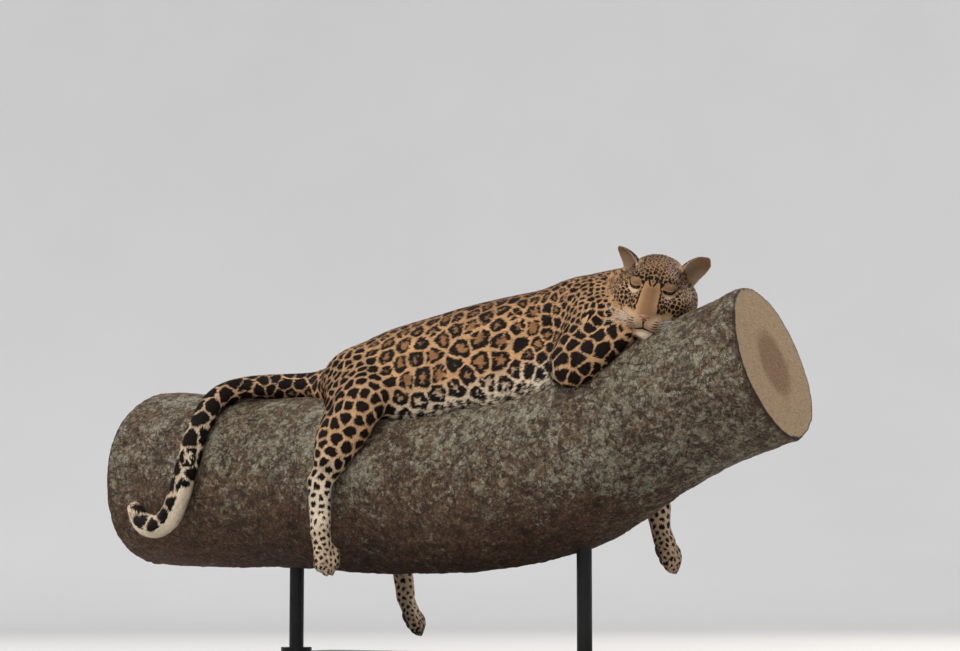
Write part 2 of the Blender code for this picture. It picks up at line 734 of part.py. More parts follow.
def make_base():
    """The base: a flat plate with rounded upright corners."""
    shape = bmesh.new()
    bmesh.ops.create_cube(shape, size=1.0)
    matrix = Matrix.Translation((0, 0, BASE_THICK / 2)) @ Matrix.Diagonal(
        (BASE_LENGTH, BASE_WIDTH, BASE_THICK, 1))
    bmesh.ops.transform(shape, matrix=matrix, verts=shape.verts)
    upright = [e for e in shape.edges
               if abs(e.verts[0].co.z - e.verts[1].co.z) > BASE_THICK / 2]
    bmesh.ops.bevel(shape, geom=upright, offset=BASE_CORNER, segments=6, affect="EDGES",
                    profile=0.5)
    return new_object("stand_base", shape)


def make_rods(room):
    """Two rods from the base to the branch, each in a collar on the base."""
    for name, x in ROD_XS.items():
        rod = make_cylinder(f"stand_rod_{name}", ROD_RADIUS, BASE_THICK + GAP,
                            BRANCH_RUN[0][1], x)
        boolean(rod, room, "DIFFERENCE")
        keep_largest(rod)
        collar = make_cylinder(f"stand_collar_{name}", COLLAR_RADIUS, BASE_THICK + GAP,
                               BASE_THICK + COLLAR_HEIGHT, x)
        hole = make_cylinder("cutter", ROD_RADIUS + GAP, 0, BASE_THICK + 2 * COLLAR_HEIGHT, x)
        boolean(collar, hole, "DIFFERENCE")
        remove(hole)


def make_tube(name, points, radius, sides=8):
    """A closed tube through points, as a mesh."""
    curve = bpy.data.curves.new(name, "CURVE")
    curve.dimensions, curve.bevel_depth, curve.bevel_resolution = "3D", radius, sides // 4
    curve.use_fill_caps = True
    spline = curve.splines.new("POLY")
    spline.points.add(len(points) - 1)
    for knot, point in zip(spline.points, points):
        knot.co = (*point, 1)
    drawn = bpy.data.objects.new(name, curve)
    MODEL.objects.link(drawn)
    graph = bpy.context.evaluated_depsgraph_get()
    mesh = bpy.data.meshes.new_from_object(drawn.evaluated_get(graph), depsgraph=graph)
    remove(drawn)
    shape = bmesh.new()
    shape.from_mesh(mesh)
    bpy.data.meshes.remove(mesh)
    bmesh.ops.remove_doubles(shape, verts=shape.verts, dist=1e-5)
    bmesh.ops.recalc_face_normals(shape, faces=shape.faces)
    return new_object(name, shape)


def make_ball(name, centre, radii, axes=None, detail=3):
    """An ellipsoid of 20 * 4 ** (detail - 1) triangles."""
    shape = bmesh.new()
    axes = np.eye(3) if axes is None else axes
    matrix = (Matrix.Translation(centre) @ Matrix(axes.T.tolist()).to_4x4()
              @ Matrix.Diagonal((*radii, 1)))
    bmesh.ops.create_icosphere(shape, subdivisions=detail, radius=1.0, matrix=matrix)
    return new_object(name, shape)


def head_ball(name, head, centre, radii, detail=3):
    """An ellipsoid given in the head's frame."""
    return make_ball(name, head.to_world(centre), np.array(radii) * HEAD_SCALE, head.axes,
                     detail)


def cut_mouth(thing, head):
    """The line of the mouth round the muzzle, and the split of the upper lip."""
    sides = []
    for sign in (-1, 1):
        side = []
        for height, turn in zip(head.LIP_HEIGHTS, head.LIP_TURNS):
            turn = math.radians(turn) * sign
            start = (head.LIP_CENTRE_X, 0, height)
            side.append(head.skin_point(start, (math.cos(turn), math.sin(turn), 0)))
        sides.append(side)
    line = sides[0][::-1] + sides[1][1:]
    lip = make_tube("cutter", head.to_world(line), head.LINE_RADIUS)
    boolean(thing, lip, "DIFFERENCE")
    split = [head.skin_point((0.06, 0, height), (1, 0, 0)) for height in head.PHILTRUM_HEIGHTS]
    groove = make_tube("cutter", head.to_world(split), head.LINE_RADIUS * 0.7)
    boolean(thing, groove, "DIFFERENCE")
    remove(lip, groove)


def cut_eye(thing, head, sign):
    """The ball's pocket, and the narrow sagging slit between the lids."""
    centre = np.array(EYE_PLACE) * (1, sign, 1)
    pocket = head_ball("cutter", head, centre, (EYE_RADIUS + GAP,) * 3)
    boolean(thing, pocket, "DIFFERENCE")
    shape = bmesh.new()
    outward = unit((0.91, 0.41 * sign, 0.0))
    aside = unit(np.cross((0, 0, 1), outward)) * sign
    rows = []
    for share in np.linspace(-1, 1, 7):
        height = -head.SLIT_SAG * (1 - share**2) + 0.0012 * share
        thick = head.SLIT_HALF_HEIGHT * (1 - 0.6 * share**2)
        middle = centre + aside * share * head.SLIT_HALF_WIDTH + (0, 0, height)
        rows.append([shape.verts.new(head.to_world(middle + outward * reach + (0, 0, up)))
                     for reach, up in ((0.004, -thick), (0.030, -thick), (0.030, thick),
                                       (0.004, thick))])
    for low, high in zip(rows, rows[1:]):
        for side in range(4):
            after = (side + 1) % 4
            shape.faces.new((low[side], low[after], high[after], high[side]))
    shape.faces.new(rows[0])
    shape.faces.new(reversed(rows[-1]))
    bmesh.ops.recalc_face_normals(shape, faces=shape.faces)
    slit = new_object("cutter", shape)
    boolean(thing, slit, "DIFFERENCE")
    remove(pocket, slit)


def make_nose(head, flesh_of_head):
    """The nose leather with its nostrils, and its seat in the muzzle."""
    nose = head_ball("nose", head, *head.NOSE)
    seat = swollen(copy_of(nose, "cutter"), GAP)
    boolean(flesh_of_head, seat, "DIFFERENCE")
    remove(seat)
    centre, radii = head.NOSTRIL
    for sign in (1, -1):
        hole = head_ball("cutter", head, np.array(centre) * (1, sign, 1), radii, 2)
        boolean(nose, hole, "DIFFERENCE")
        remove(hole)
    return nose


def make_ear(name, head, flesh_of_head):
    """A rounded ear: a bent cup of even thickness, rooted on the head."""
    root, stand, opening = (np.array(v) for v in EARS[name])
    stand = unit(stand)
    across = unit(np.cross(stand, opening))
    opening = np.cross(across, stand)
    rows, columns = 9, 9
    shape = bmesh.new()
    grid = []
    for share in np.linspace(EAR_FOOT, 1, rows):
        width = max(1 - (max(share - 0.35, 0) / 0.65) ** 2.3, 0.012) ** 0.5
        width *= EAR_HALF_WIDTH * (0.90 + 0.10 * min(share / 0.35, 1))
        line = []
        for turn in np.linspace(-0.5 * math.pi, 0.5 * math.pi, columns):
            back = EAR_DEPTH * (1 - 0.5 * share) * math.cos(turn) * (width / EAR_HALF_WIDTH)
            lean = 0.010 * share**2
            point = (root + stand * (EAR_HEIGHT * share) + across * width * math.sin(turn)
                     - opening * (back - lean))
            line.append(shape.verts.new(head.to_world(point)))
        grid.append(line)
    for low, high in zip(grid, grid[1:]):
        for column in range(columns - 1):
            shape.faces.new((low[column], low[column + 1], high[column + 1], high[column]))
    ear = new_object(name, shape)
    solid = ear.modifiers.new("solid", "SOLIDIFY")
    solid.thickness, solid.offset = EAR_THICK, 0
    apply_modifiers(ear)
    boolean(ear, flesh_of_head, "DIFFERENCE")
    return keep_largest(ear)


def dress(thing, look):
    """Gives the object a material of its own, and shades its round faces smooth."""
    colour, roughness, metallic = LOOKS[look]
    material = bpy.data.materials.new(thing.name)
    material.use_nodes = True
    shader = material.node_tree.nodes["Principled BSDF"]
    shader.inputs["Base Color"].default_value = (*colour, 1)
    shader.inputs["Roughness"].default_value = roughness
    shader.inputs["Metallic"].default_value = metallic
    thing.data.materials.clear()
    thing.data.materials.append(material)
    thing.data.shade_smooth()
    thing.data.set_sharp_from_angle(angle=SHARP_ANGLE)


def look_of(name):
    """Which of LOOKS an object wears, from its name."""
    for start, look in (("eye", "eye"), ("nose", "nose"), ("perch", "bark"), ("stand", "stand")):
        if name.startswith(start):
            return look
    return "coat"


def make_head(body, room):
    """The head with its eyes, nose and ears."""
    near = [ball for ball in body.neck.balls()
            if np.linalg.norm(ball.centre - body.head.place) < HEAD_REACH - 0.03]
    head = soft_solid("head", body.head.balls() + near, body.head_field, HEAD_VOXEL,
                      HEAD_TRIANGLES)
    egg = head_ball("cutter", body.head, *HEAD_EGG)
    boolean(head, egg, "INTERSECT")
    boolean(head, room, "DIFFERENCE")
    remove(egg)
    blank = swollen(copy_of(keep_largest(head), "blank"), GAP)
    cut_mouth(head, body.head)
    for side, sign in (("left", 1), ("right", -1)):
        cut_eye(head, body.head, sign)
        head_ball(f"eye_{side}", body.head, np.array(EYE_PLACE) * (1, sign, 1),
                  (EYE_RADIUS,) * 3, 2)
    make_nose(body.head, head)
    keep_largest(head)
    for name in EARS:
        make_ear(name, body.head, blank)
    return blank


def part_leg(flesh, body, name, leg):
    """Takes a leg out of the flesh, and its paw off the leg."""
    cutter = soft_solid("cutter", leg.balls(), lambda p: leg.field_and_place(p)[0] - LIMB_MARGIN,
                        LIMB_VOXEL, LIMB_TRIANGLES)
    limb = copy_of(flesh, name)
    boolean(limb, cutter, "INTERSECT")
    boolean(flesh, swollen(cutter, GAP), "DIFFERENCE")
    remove(cutter)
    keep_largest(limb)
    keep_largest(flesh)
    if leg.paw_apart:
        wrist, toe = leg.joints[3:]
        part_at_plane(limb, name.replace("leg", "paw"), wrist, toe - wrist, 0.22)
        keep_largest(limb)


def main():
    body = Body()
    branch = make_branch()
    room = swollen(copy_of(branch, "room"), GAP)
    make_base()
    make_rods(room)
    flesh = soft_solid("torso", body.balls(), body.field, BODY_VOXEL, BODY_TRIANGLES)
    boolean(flesh, room, "DIFFERENCE")
    blank = make_head(body, room)
    boolean(flesh, blank, "DIFFERENCE")
    keep_largest(flesh)
    for name, leg in body.legs.items():
        part_leg(flesh, body, name, leg)
    part_at_plane(flesh, "neck", *NECK_CUT)
    tail = flesh
    for name, point, normal in TAIL_CUTS:
        tail = part_at_plane(tail, name, point, normal)
    keep_largest(flesh)
    remove(room, blank)
    for thing in MODEL.objects:
        dress(thing, look_of(thing.name))


for old in list(bpy.data.objects):
    bpy.data.objects.remove(old)
MODEL = bpy.data.collections.new("leopard_on_branch")
bpy.context.scene.collection.children.link(MODEL)

main()
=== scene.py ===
"""Looks for the sleeping leopard: one skin with its markings, a coat of tufts, whiskers, eyes,
nose, pads, the bark of the branch, the stand, and the studio round it. Metres, +Z up.

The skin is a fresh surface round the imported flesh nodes. Its markings are cells grown from
seeded points, worked out by the same function for the skin and for every tuft of the coat.
"""

import math

import bmesh
import bpy
import numpy as np
from mathutils import Matrix, Vector, kdtree, noise
from mathutils.bvhtree import BVHTree


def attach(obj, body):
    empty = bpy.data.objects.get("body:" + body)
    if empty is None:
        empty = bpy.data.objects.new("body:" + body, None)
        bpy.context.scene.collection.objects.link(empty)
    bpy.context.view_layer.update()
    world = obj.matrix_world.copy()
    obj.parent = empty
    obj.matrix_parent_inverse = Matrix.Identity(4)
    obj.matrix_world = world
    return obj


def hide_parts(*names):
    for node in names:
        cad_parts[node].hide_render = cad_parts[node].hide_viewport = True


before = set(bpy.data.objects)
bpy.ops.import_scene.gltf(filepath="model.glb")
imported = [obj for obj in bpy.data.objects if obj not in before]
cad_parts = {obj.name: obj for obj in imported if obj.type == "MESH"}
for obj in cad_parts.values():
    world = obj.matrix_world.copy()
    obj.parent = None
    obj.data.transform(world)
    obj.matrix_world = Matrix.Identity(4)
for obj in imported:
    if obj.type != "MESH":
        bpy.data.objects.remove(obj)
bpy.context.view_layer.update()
ROOT = "root"

# the animal's sizes, as in the solids
HEAD_PLACE = np.array((0.433, -0.035, 0.778))
HEAD_YAW, HEAD_PITCH, HEAD_ROLL = math.radians(-73), math.radians(23), math.radians(-13.5)
HEAD_SCALE = 1.05
EYE_PLACE, EYE_RADIUS, LID = np.array((0.0430, 0.0310, 0.0190)), 0.0125, 0.0020
EYE_SOCKET, EYE_SOCKET_RADII = (0.062, 0.041, 0.0175), (0.014, 0.014, 0.0085)
EARS = {
    "ear_left": ((-0.031, 0.057, 0.023), (-0.34, 0.49, 0.81), (0.76, 0.64, -0.15)),
    "ear_right": ((-0.025, -0.051, 0.020), (0.04, -0.47, 0.88), (0.66, -0.66, -0.35)),
}
LEGS = {
    "hind_right": ((-0.295, -0.066, 0.620), (-0.196, -0.172, 0.557), (-0.262, -0.222, 0.388),
                   (-0.258, -0.224, 0.286), (-0.236, -0.220, 0.200)),
    "hind_left": ((-0.295, 0.066, 0.620), (-0.215, 0.222, 0.462), (-0.342, 0.224, 0.266),
                  (-0.322, 0.222, 0.146), (-0.268, 0.216, 0.044)),
    "fore_right": ((0.334, -0.084, 0.724), (0.300, -0.152, 0.614), (0.410, -0.104, 0.698),
                   (0.404, -0.074, 0.706), (0.374, -0.010, 0.712)),
    "fore_left": ((0.332, 0.100, 0.715), (0.284, 0.212, 0.500), (0.324, 0.206, 0.320),
                  (0.327, 0.206, 0.298), (0.353, 0.204, 0.230)),
}
PAWS = {
    # which leg, the way the back of the paw faces, its size
    "hind_right": ((1.0, -0.25, 0.15), 0.92),
    "hind_left": ((1.0, 0.20, 0.45), 0.92),
    "fore_left": ((1.0, 0.1, 0.35), 1.02),
}
ARMPIT = np.array((0.25, -0.16, 0.60))
TAIL = (
    (-0.350, 0.000, 0.622), (-0.415, -0.020, 0.617), (-0.480, -0.044, 0.617),
    (-0.535, -0.060, 0.616), (-0.578, -0.090, 0.608), (-0.599, -0.132, 0.585),
    (-0.600, -0.176, 0.543), (-0.604, -0.206, 0.492), (-0.614, -0.220, 0.430),
    (-0.630, -0.2225, 0.372), (-0.656, -0.2225, 0.322), (-0.692, -0.2225, 0.302),
    (-0.726, -0.2225, 0.311), (-0.750, -0.2225, 0.340),
)
SPINE = ((0.40, 0.01, 0.80), (0.26, 0.0, 0.713), (0.10, 0.0, 0.674), (-0.10, 0.0, 0.648),
         (-0.285, 0.0, 0.618), (-0.40, 0.0, 0.606))
BRANCH_RUN = (
    (-0.86, 0.417, 0.196), (-0.74, 0.413, 0.198), (-0.46, 0.401, 0.192), (-0.20, 0.389, 0.190),
    (0.00, 0.390, 0.190), (0.19, 0.424, 0.188), (0.29, 0.460, 0.178), (0.40, 0.512, 0.164),
    (0.52, 0.565, 0.158), (0.68, 0.618, 0.166),
)
FLESH = ("head", "ear_left", "ear_right", "neck", "torso", "foreleg_left", "foreleg_right",
         "forepaw_left", "hindleg_left", "hindleg_right", "hindpaw_left", "hindpaw_right",
         "tail_base", "tail_middle", "tail_tip")

# mesh resolution
SKIN_VOXEL = 0.0018
SKIN_TRIANGLES = 112000
SKIN_LONGEST = 0.0095  # longer edges of the skin are halved, for its markings
GROWTH = 0.0022  # the nodes swell by this, to close the cuts between them, and go back
REST_FULL, REST_NONE = 0.0028, 0.0065  # gaps over the branch that are closed, and left
CREVICE = 0.0050  # the same where the head meets the rest, to fill the crevices there
SEED = 11


def unit(v):
    v = np.asarray(v, float)
    return v / np.maximum(np.linalg.norm(v, axis=-1, keepdims=True), 1e-12)


def ease(x, low, high):
    """0 below low, 1 above high, smooth between."""
    t = np.clip((x - low) / (high - low), 0, 1)
    return t * t * (3 - 2 * t)


def smooth_run(run, steps):
    rows = np.array(run, float)
    ends = np.vstack([2 * rows[0] - rows[1], rows, 2 * rows[-1] - rows[-2]])
    made = []
    for a, b, c, d in zip(ends, ends[1:], ends[2:], ends[3:]):
        for t in np.arange(steps) / steps:
            made.append(0.5 * (2 * b + (c - a) * t + (2 * a - 5 * b + 4 * c - d) * t**2
                               + (3 * b - a - 3 * c + d) * t**3))
    return np.array(made + [rows[-1]])


def ripple(points, size, seed, octaves=1):
    """Smooth noise about 0, mostly within -1 to 1, whose bumps are about that size."""
    rng = np.random.default_rng(seed)
    total = np.zeros(len(points))
    for octave in range(octaves):
        part = np.zeros(len(points))
        for _ in range(7):
            way = unit(rng.normal(size=3)) * (2 * math.pi / size) * rng.uniform(0.6, 1.2)
            part += np.sin(points @ way + rng.uniform(0, 2 * math.pi))
        total += part / 2.4 * 0.55**octave
        size *= 0.48
    return total


def along_line(points, line):
    """For each point: distance to a line of points, share of its length, and its direction."""
    line = np.array(line, float)
    steps = np.r_[0, np.cumsum(np.linalg.norm(np.diff(line, axis=0), axis=1))]
    best = np.full(len(points), 9.0)
    place = np.zeros(len(points))
    way = np.zeros((len(points), 3))
    for i, (a, b) in enumerate(zip(line, line[1:])):
        run = b - a
        t = np.clip((points - a) @ run / (run @ run), 0, 1)
        d = np.linalg.norm(points - a - t[:, None] * run, axis=1)
        near = d < best
        best[near] = d[near]
        place[near] = (steps[i] + t[near] * (steps[i + 1] - steps[i])) / steps[-1]
        way[near] = unit(run)
    return best, place, way


# the head's own frame and shape
HEAD_TURN = np.array(Matrix.Rotation(HEAD_YAW, 3, "Z") @ Matrix.Rotation(HEAD_PITCH, 3, "Y")
                     @ Matrix.Rotation(HEAD_ROLL, 3, "X"))


def to_head(points):
    return (points - HEAD_PLACE) @ HEAD_TURN / HEAD_SCALE


def from_head(points):
    return np.asarray(points, float) * HEAD_SCALE @ HEAD_TURN.T + HEAD_PLACE


def way_from_head(ways):
    return np.asarray(ways, float) @ HEAD_TURN.T


BRIDGE = ((0.026, 0, 0.030, 0.030, 0.018), (0.056, 0, 0.009, 0.0230, 0.0175),
          (0.082, 0, -0.008, 0.0205, 0.0160), (0.102, 0, -0.0215, 0.0165, 0.0130))
SKULL = (
    ((-0.034, 0, 0.014), (0.062, 0.058, 0.046), 0.020),
    ((0.004, 0, 0.017), (0.046, 0.050, 0.035), 0.020),
    ((-0.012, 0, -0.042), (0.058, 0.052, 0.034), 0.020),
    ((0.068, 0, -0.034), (0.040, 0.0330, 0.0270), 0.014),
    ((0.046, 0, -0.059), (0.048, 0.0310, 0.0155), 0.012),
    ((0.086, 0, -0.0625), (0.0185, 0.0225, 0.0135), 0.008),
)
PAIRS = (
    ((0.018, 0.046, -0.010), (0.046, 0.029, 0.026), 0.018),
    ((-0.012, 0.050, -0.034), (0.044, 0.033, 0.038), 0.020),
    ((-0.034, 0.062, -0.026), (0.028, 0.024, 0.038), 0.018),
    ((0.032, 0.027, 0.034), (0.021, 0.018, 0.0100), 0.014),
    ((0.0870, 0.0170, -0.0370), (0.0260, 0.0195, 0.0175), 0.0050),
    ((0.060, 0.024, -0.010), (0.030, 0.0130, 0.019), 0.018),
    ((0.042, 0.037, -0.036), (0.036, 0.0180, 0.024), 0.018),
)
LIP_HEIGHTS = (-0.0478, -0.0505, -0.0540, -0.0560, -0.0560, -0.0545, -0.0520)
LIP_TURNS = (0, 14, 30, 48, 64, 76, 84)
LIP_CENTRE_X = 0.058
HEAD_EGG = ((0.010, 0, -0.004), (0.116, 0.108, 0.100))
NOSE_AT = np.array((0.1085, 0, -0.0240))


def lump(p, centre, radii):
    local = (p - np.array(centre)) / np.array(radii)
    k0 = np.linalg.norm(local, axis=1)
    k1 = np.linalg.norm(local / np.array(radii), axis=1)
    return k0 * (k0 - 1) / np.maximum(k1, 1e-9)


def melt(a, b, reach):
    share = np.clip(0.5 + 0.5 * (b - a) / reach, 0, 1)
    return b + (a - b) * share - reach * share * (1 - share)


def head_shape(p):
    """The distance to the head's surface, in its own frame, at the head's plain size."""
    m = p.copy()
    m[:, 1] = np.abs(p[:, 1])
    found = None
    rows = smooth_run(BRIDGE, 4)
    for a, b in zip(rows, rows[1:]):
        run = b[:3] - a[:3]
        length = np.linalg.norm(run)
        ahead = run / length
        up = np.cross(ahead, (0, 1, 0))
        local = (p - a[:3]) @ np.array([ahead, (0, 1, 0), up]).T
        share = np.clip(local[:, 0] / length, 0, 1)
        local[:, 0] -= share * length
        wide, high = a[3] + share * (b[3] - a[3]), a[4] + share * (b[4] - a[4])
        radii = np.stack([np.minimum(wide, high), wide, high], 1)
        k0 = np.linalg.norm(local / radii, axis=1)
        d = k0 * (k0 - 1) / np.maximum(np.linalg.norm(local / radii**2, axis=1), 1e-9)
        found = d if found is None else np.minimum(found, d)
    for centre, radii, reach in SKULL:
        found = melt(found, lump(p, centre, radii), reach)
    for centre, radii, reach in PAIRS:
        found = melt(found, lump(m, centre, radii), reach)
    ball = np.linalg.norm(m - EYE_PLACE, axis=1)
    found = -melt(-found, lump(m, EYE_SOCKET, EYE_SOCKET_RADII), 0.012)
    return melt(found, ball - EYE_RADIUS - LID, 0.0060)


# mesh tools
def new_object(name, points, faces):
    mesh = bpy.data.meshes.new(name)
    mesh.from_pydata(points, [], faces)
    mesh.update()
    thing = bpy.data.objects.new(name, mesh)
    bpy.context.scene.collection.objects.link(thing)
    return thing


def bulk_object(name, points, faces):
    """An object from arrays: faces all of one size."""
    mesh = bpy.data.meshes.new(name)
    faces = np.asarray(faces, np.int32)
    count, size = faces.shape
    mesh.vertices.add(len(points))
    mesh.vertices.foreach_set("co", np.asarray(points, np.float32).ravel())
    mesh.loops.add(count * size)
    mesh.loops.foreach_set("vertex_index", faces.ravel())
    mesh.polygons.add(count)
    mesh.polygons.foreach_set("loop_start", np.arange(count, dtype=np.int32) * size)
    mesh.update(calc_edges=True)
    mesh.validate()
    thing = bpy.data.objects.new(name, mesh)
    bpy.context.scene.collection.objects.link(thing)
    return thing


def apply_modifiers(thing):
    graph = bpy.context.evaluated_depsgraph_get()
    mesh = bpy.data.meshes.new_from_object(thing.evaluated_get(graph), depsgraph=graph)
    thing.modifiers.clear()
    thing.data = mesh
    return thing


def points_of(mesh):
    flat = np.empty(len(mesh.vertices) * 3, np.float32)
    mesh.vertices.foreach_get("co", flat)
    return flat.reshape(-1, 3).astype(float)


def set_points(mesh, points):
    mesh.vertices.foreach_set("co", points.astype(np.float32).ravel())
    mesh.update()


def normals_of(mesh):
    flat = np.empty(len(mesh.vertices) * 3, np.float32)
    mesh.vertex_normals.foreach_get("vector", flat)
    return flat.reshape(-1, 3).astype(float)


def edges_of(mesh):
    flat = np.empty(len(mesh.edges) * 2, np.int32)
    mesh.edges.foreach_get("vertices", flat)
    return flat.reshape(-1, 2)


def triangles_of(mesh):
    mesh.calc_loop_triangles()
    flat = np.empty(len(mesh.loop_triangles) * 3, np.int32)
    mesh.loop_triangles.foreach_get("vertices", flat)
    return flat.reshape(-1, 3)


def spread(values, edges, rounds, keep=0.35):
    """Values at a mesh's points, averaged with their neighbours' over and over."""
    values = np.array(values, float)
    flat = values.reshape(len(values), -1)
    a, b = edges[:, 0], edges[:, 1]
    n = len(flat)
    degree = np.bincount(a, minlength=n) + np.bincount(b, minlength=n)
    for _ in range(rounds):
        for k in range(flat.shape[1]):
            column = flat[:, k]
            total = (np.bincount(a, column[b], n) + np.bincount(b, column[a], n)) / degree
            flat[:, k] = keep * column + (1 - keep) * total
    return flat.reshape(values.shape)


def put(mesh, name, values, kind="FLOAT_VECTOR"):
    made = mesh.attributes.new(name, kind, "POINT")
    made.data.foreach_set("vector" if kind == "FLOAT_VECTOR" else "value",
                          np.asarray(values, np.float32).ravel())


def ball_parts(centre, radii, axes, detail=3):
    """Points and triangles of an ellipsoid, its axes as rows."""
    shape = bmesh.new()
    bmesh.ops.create_icosphere(shape, subdivisions=detail, radius=1.0)
    points = np.array([v.co for v in shape.verts]) * np.array(radii) @ np.array(axes)
    faces = np.array([[v.index for v in f.verts] for f in shape.faces])
    shape.free()
    return points + np.array(centre), faces


def stack(parts):
    """One set of points and faces from many."""
    points, faces, base = [], [], 0
    for p, f in parts:
        points.append(p)
        faces.append(np.asarray(f) + base)
        base += len(p)
    return np.vstack(points), np.vstack(faces)


def make_finer(skin, is_chosen):
    """Each chosen edge is halved."""
    shape = bmesh.new()
    shape.from_mesh(skin.data)
    bmesh.ops.subdivide_edges(shape, edges=[e for e in shape.edges if is_chosen(e)], cuts=1)
    bmesh.ops.triangulate(shape, faces=[f for f in shape.faces if len(f.verts) > 3])
    shape.to_mesh(skin.data)
    shape.free()
    skin.data.update()


# paws
class Paw:
    """Where the parts of a paw lie, from its wrist, its way and the way its back faces."""

    TOES = ((-0.0235, 0.064), (-0.0082, 0.075), (0.0082, 0.075), (0.0235, 0.064))

    def __init__(self, leg):
        dorsal, self.size = PAWS[leg]
        self.wrist, toe = np.array(LEGS[leg][3]), np.array(LEGS[leg][4])
        ahead = unit(toe - self.wrist)
        up = unit(np.array(dorsal) - ahead * (np.array(dorsal) @ ahead))
        self.axes = np.array([ahead, np.cross(up, ahead), up])

    def ball(self, centre, radii, detail=3):
        return ball_parts(self.wrist + self.size * np.array(centre) @ self.axes,
                          self.size * np.array(radii), self.axes, detail)

    def flesh(self):
        made = [self.ball((0.018, 0.0, -0.002), (0.056, 0.0285, 0.0235), 4)]
        for aside, ahead in self.TOES:
            made.append(self.ball((ahead - 0.006, aside, 0.002), (0.0270, 0.0108, 0.0155)))
            made.append(self.ball((ahead + 0.013, aside * 1.05, -0.0040),
                                  (0.0135, 0.0100, 0.0125)))
        return made

    def pads(self):
        made = [self.ball((0.048, 0.0, -0.0180), (0.0190, 0.0200, 0.0085))]
        for aside, ahead in self.TOES:
            made.append(self.ball((ahead + 0.008, aside * 1.05, -0.0125),
                                  (0.0105, 0.0078, 0.0055)))
        return made


# the skin
def flesh_parts():
    made, owner = [], []
    for index, name in enumerate(FLESH):
        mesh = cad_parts[name].data
        points, faces = points_of(mesh), triangles_of(mesh)
        _, first, same = np.unique(np.round(points, 6), axis=0, return_index=True,
                                   return_inverse=True)
        points, faces = points[first], same.ravel()[faces]
        made.append((points, faces))
        owner += [index] * len(faces)
    return made, np.array(owner)


def pawness_at(points):
    """1 on the paws that are made anew, 0 elsewhere."""
    found = np.zeros(len(points))
    for leg in PAWS:
        wrist, toe = np.array(LEGS[leg][3]), np.array(LEGS[leg][4])
        d, place, _ = along_line(points, [wrist, toe + 0.4 * (toe - wrist)])
        found = np.maximum(found, (1 - ease(d, 0.035, 0.05)) * ease(place, 0.05, 0.3))
    return found


def head_seam(mesh, points, tree, owner):
    """1 on the skin's band where the head meets neck, body or arm, 0 away from it."""
    near = np.flatnonzero(np.linalg.norm(points - HEAD_PLACE, axis=1) < 0.20)
    share = np.zeros(len(points))
    nodes = np.array([owner[tree.find_nearest(p)[2]] for p in points[near].tolist()])
    share[near] = nodes < 3
    share = spread(share, edges_of(mesh), 24)
    back = ease(0.060 - to_head(points)[:, 0], 0, 0.02)
    return ease(4 * share * (1 - share), 0.02, 0.30) * back


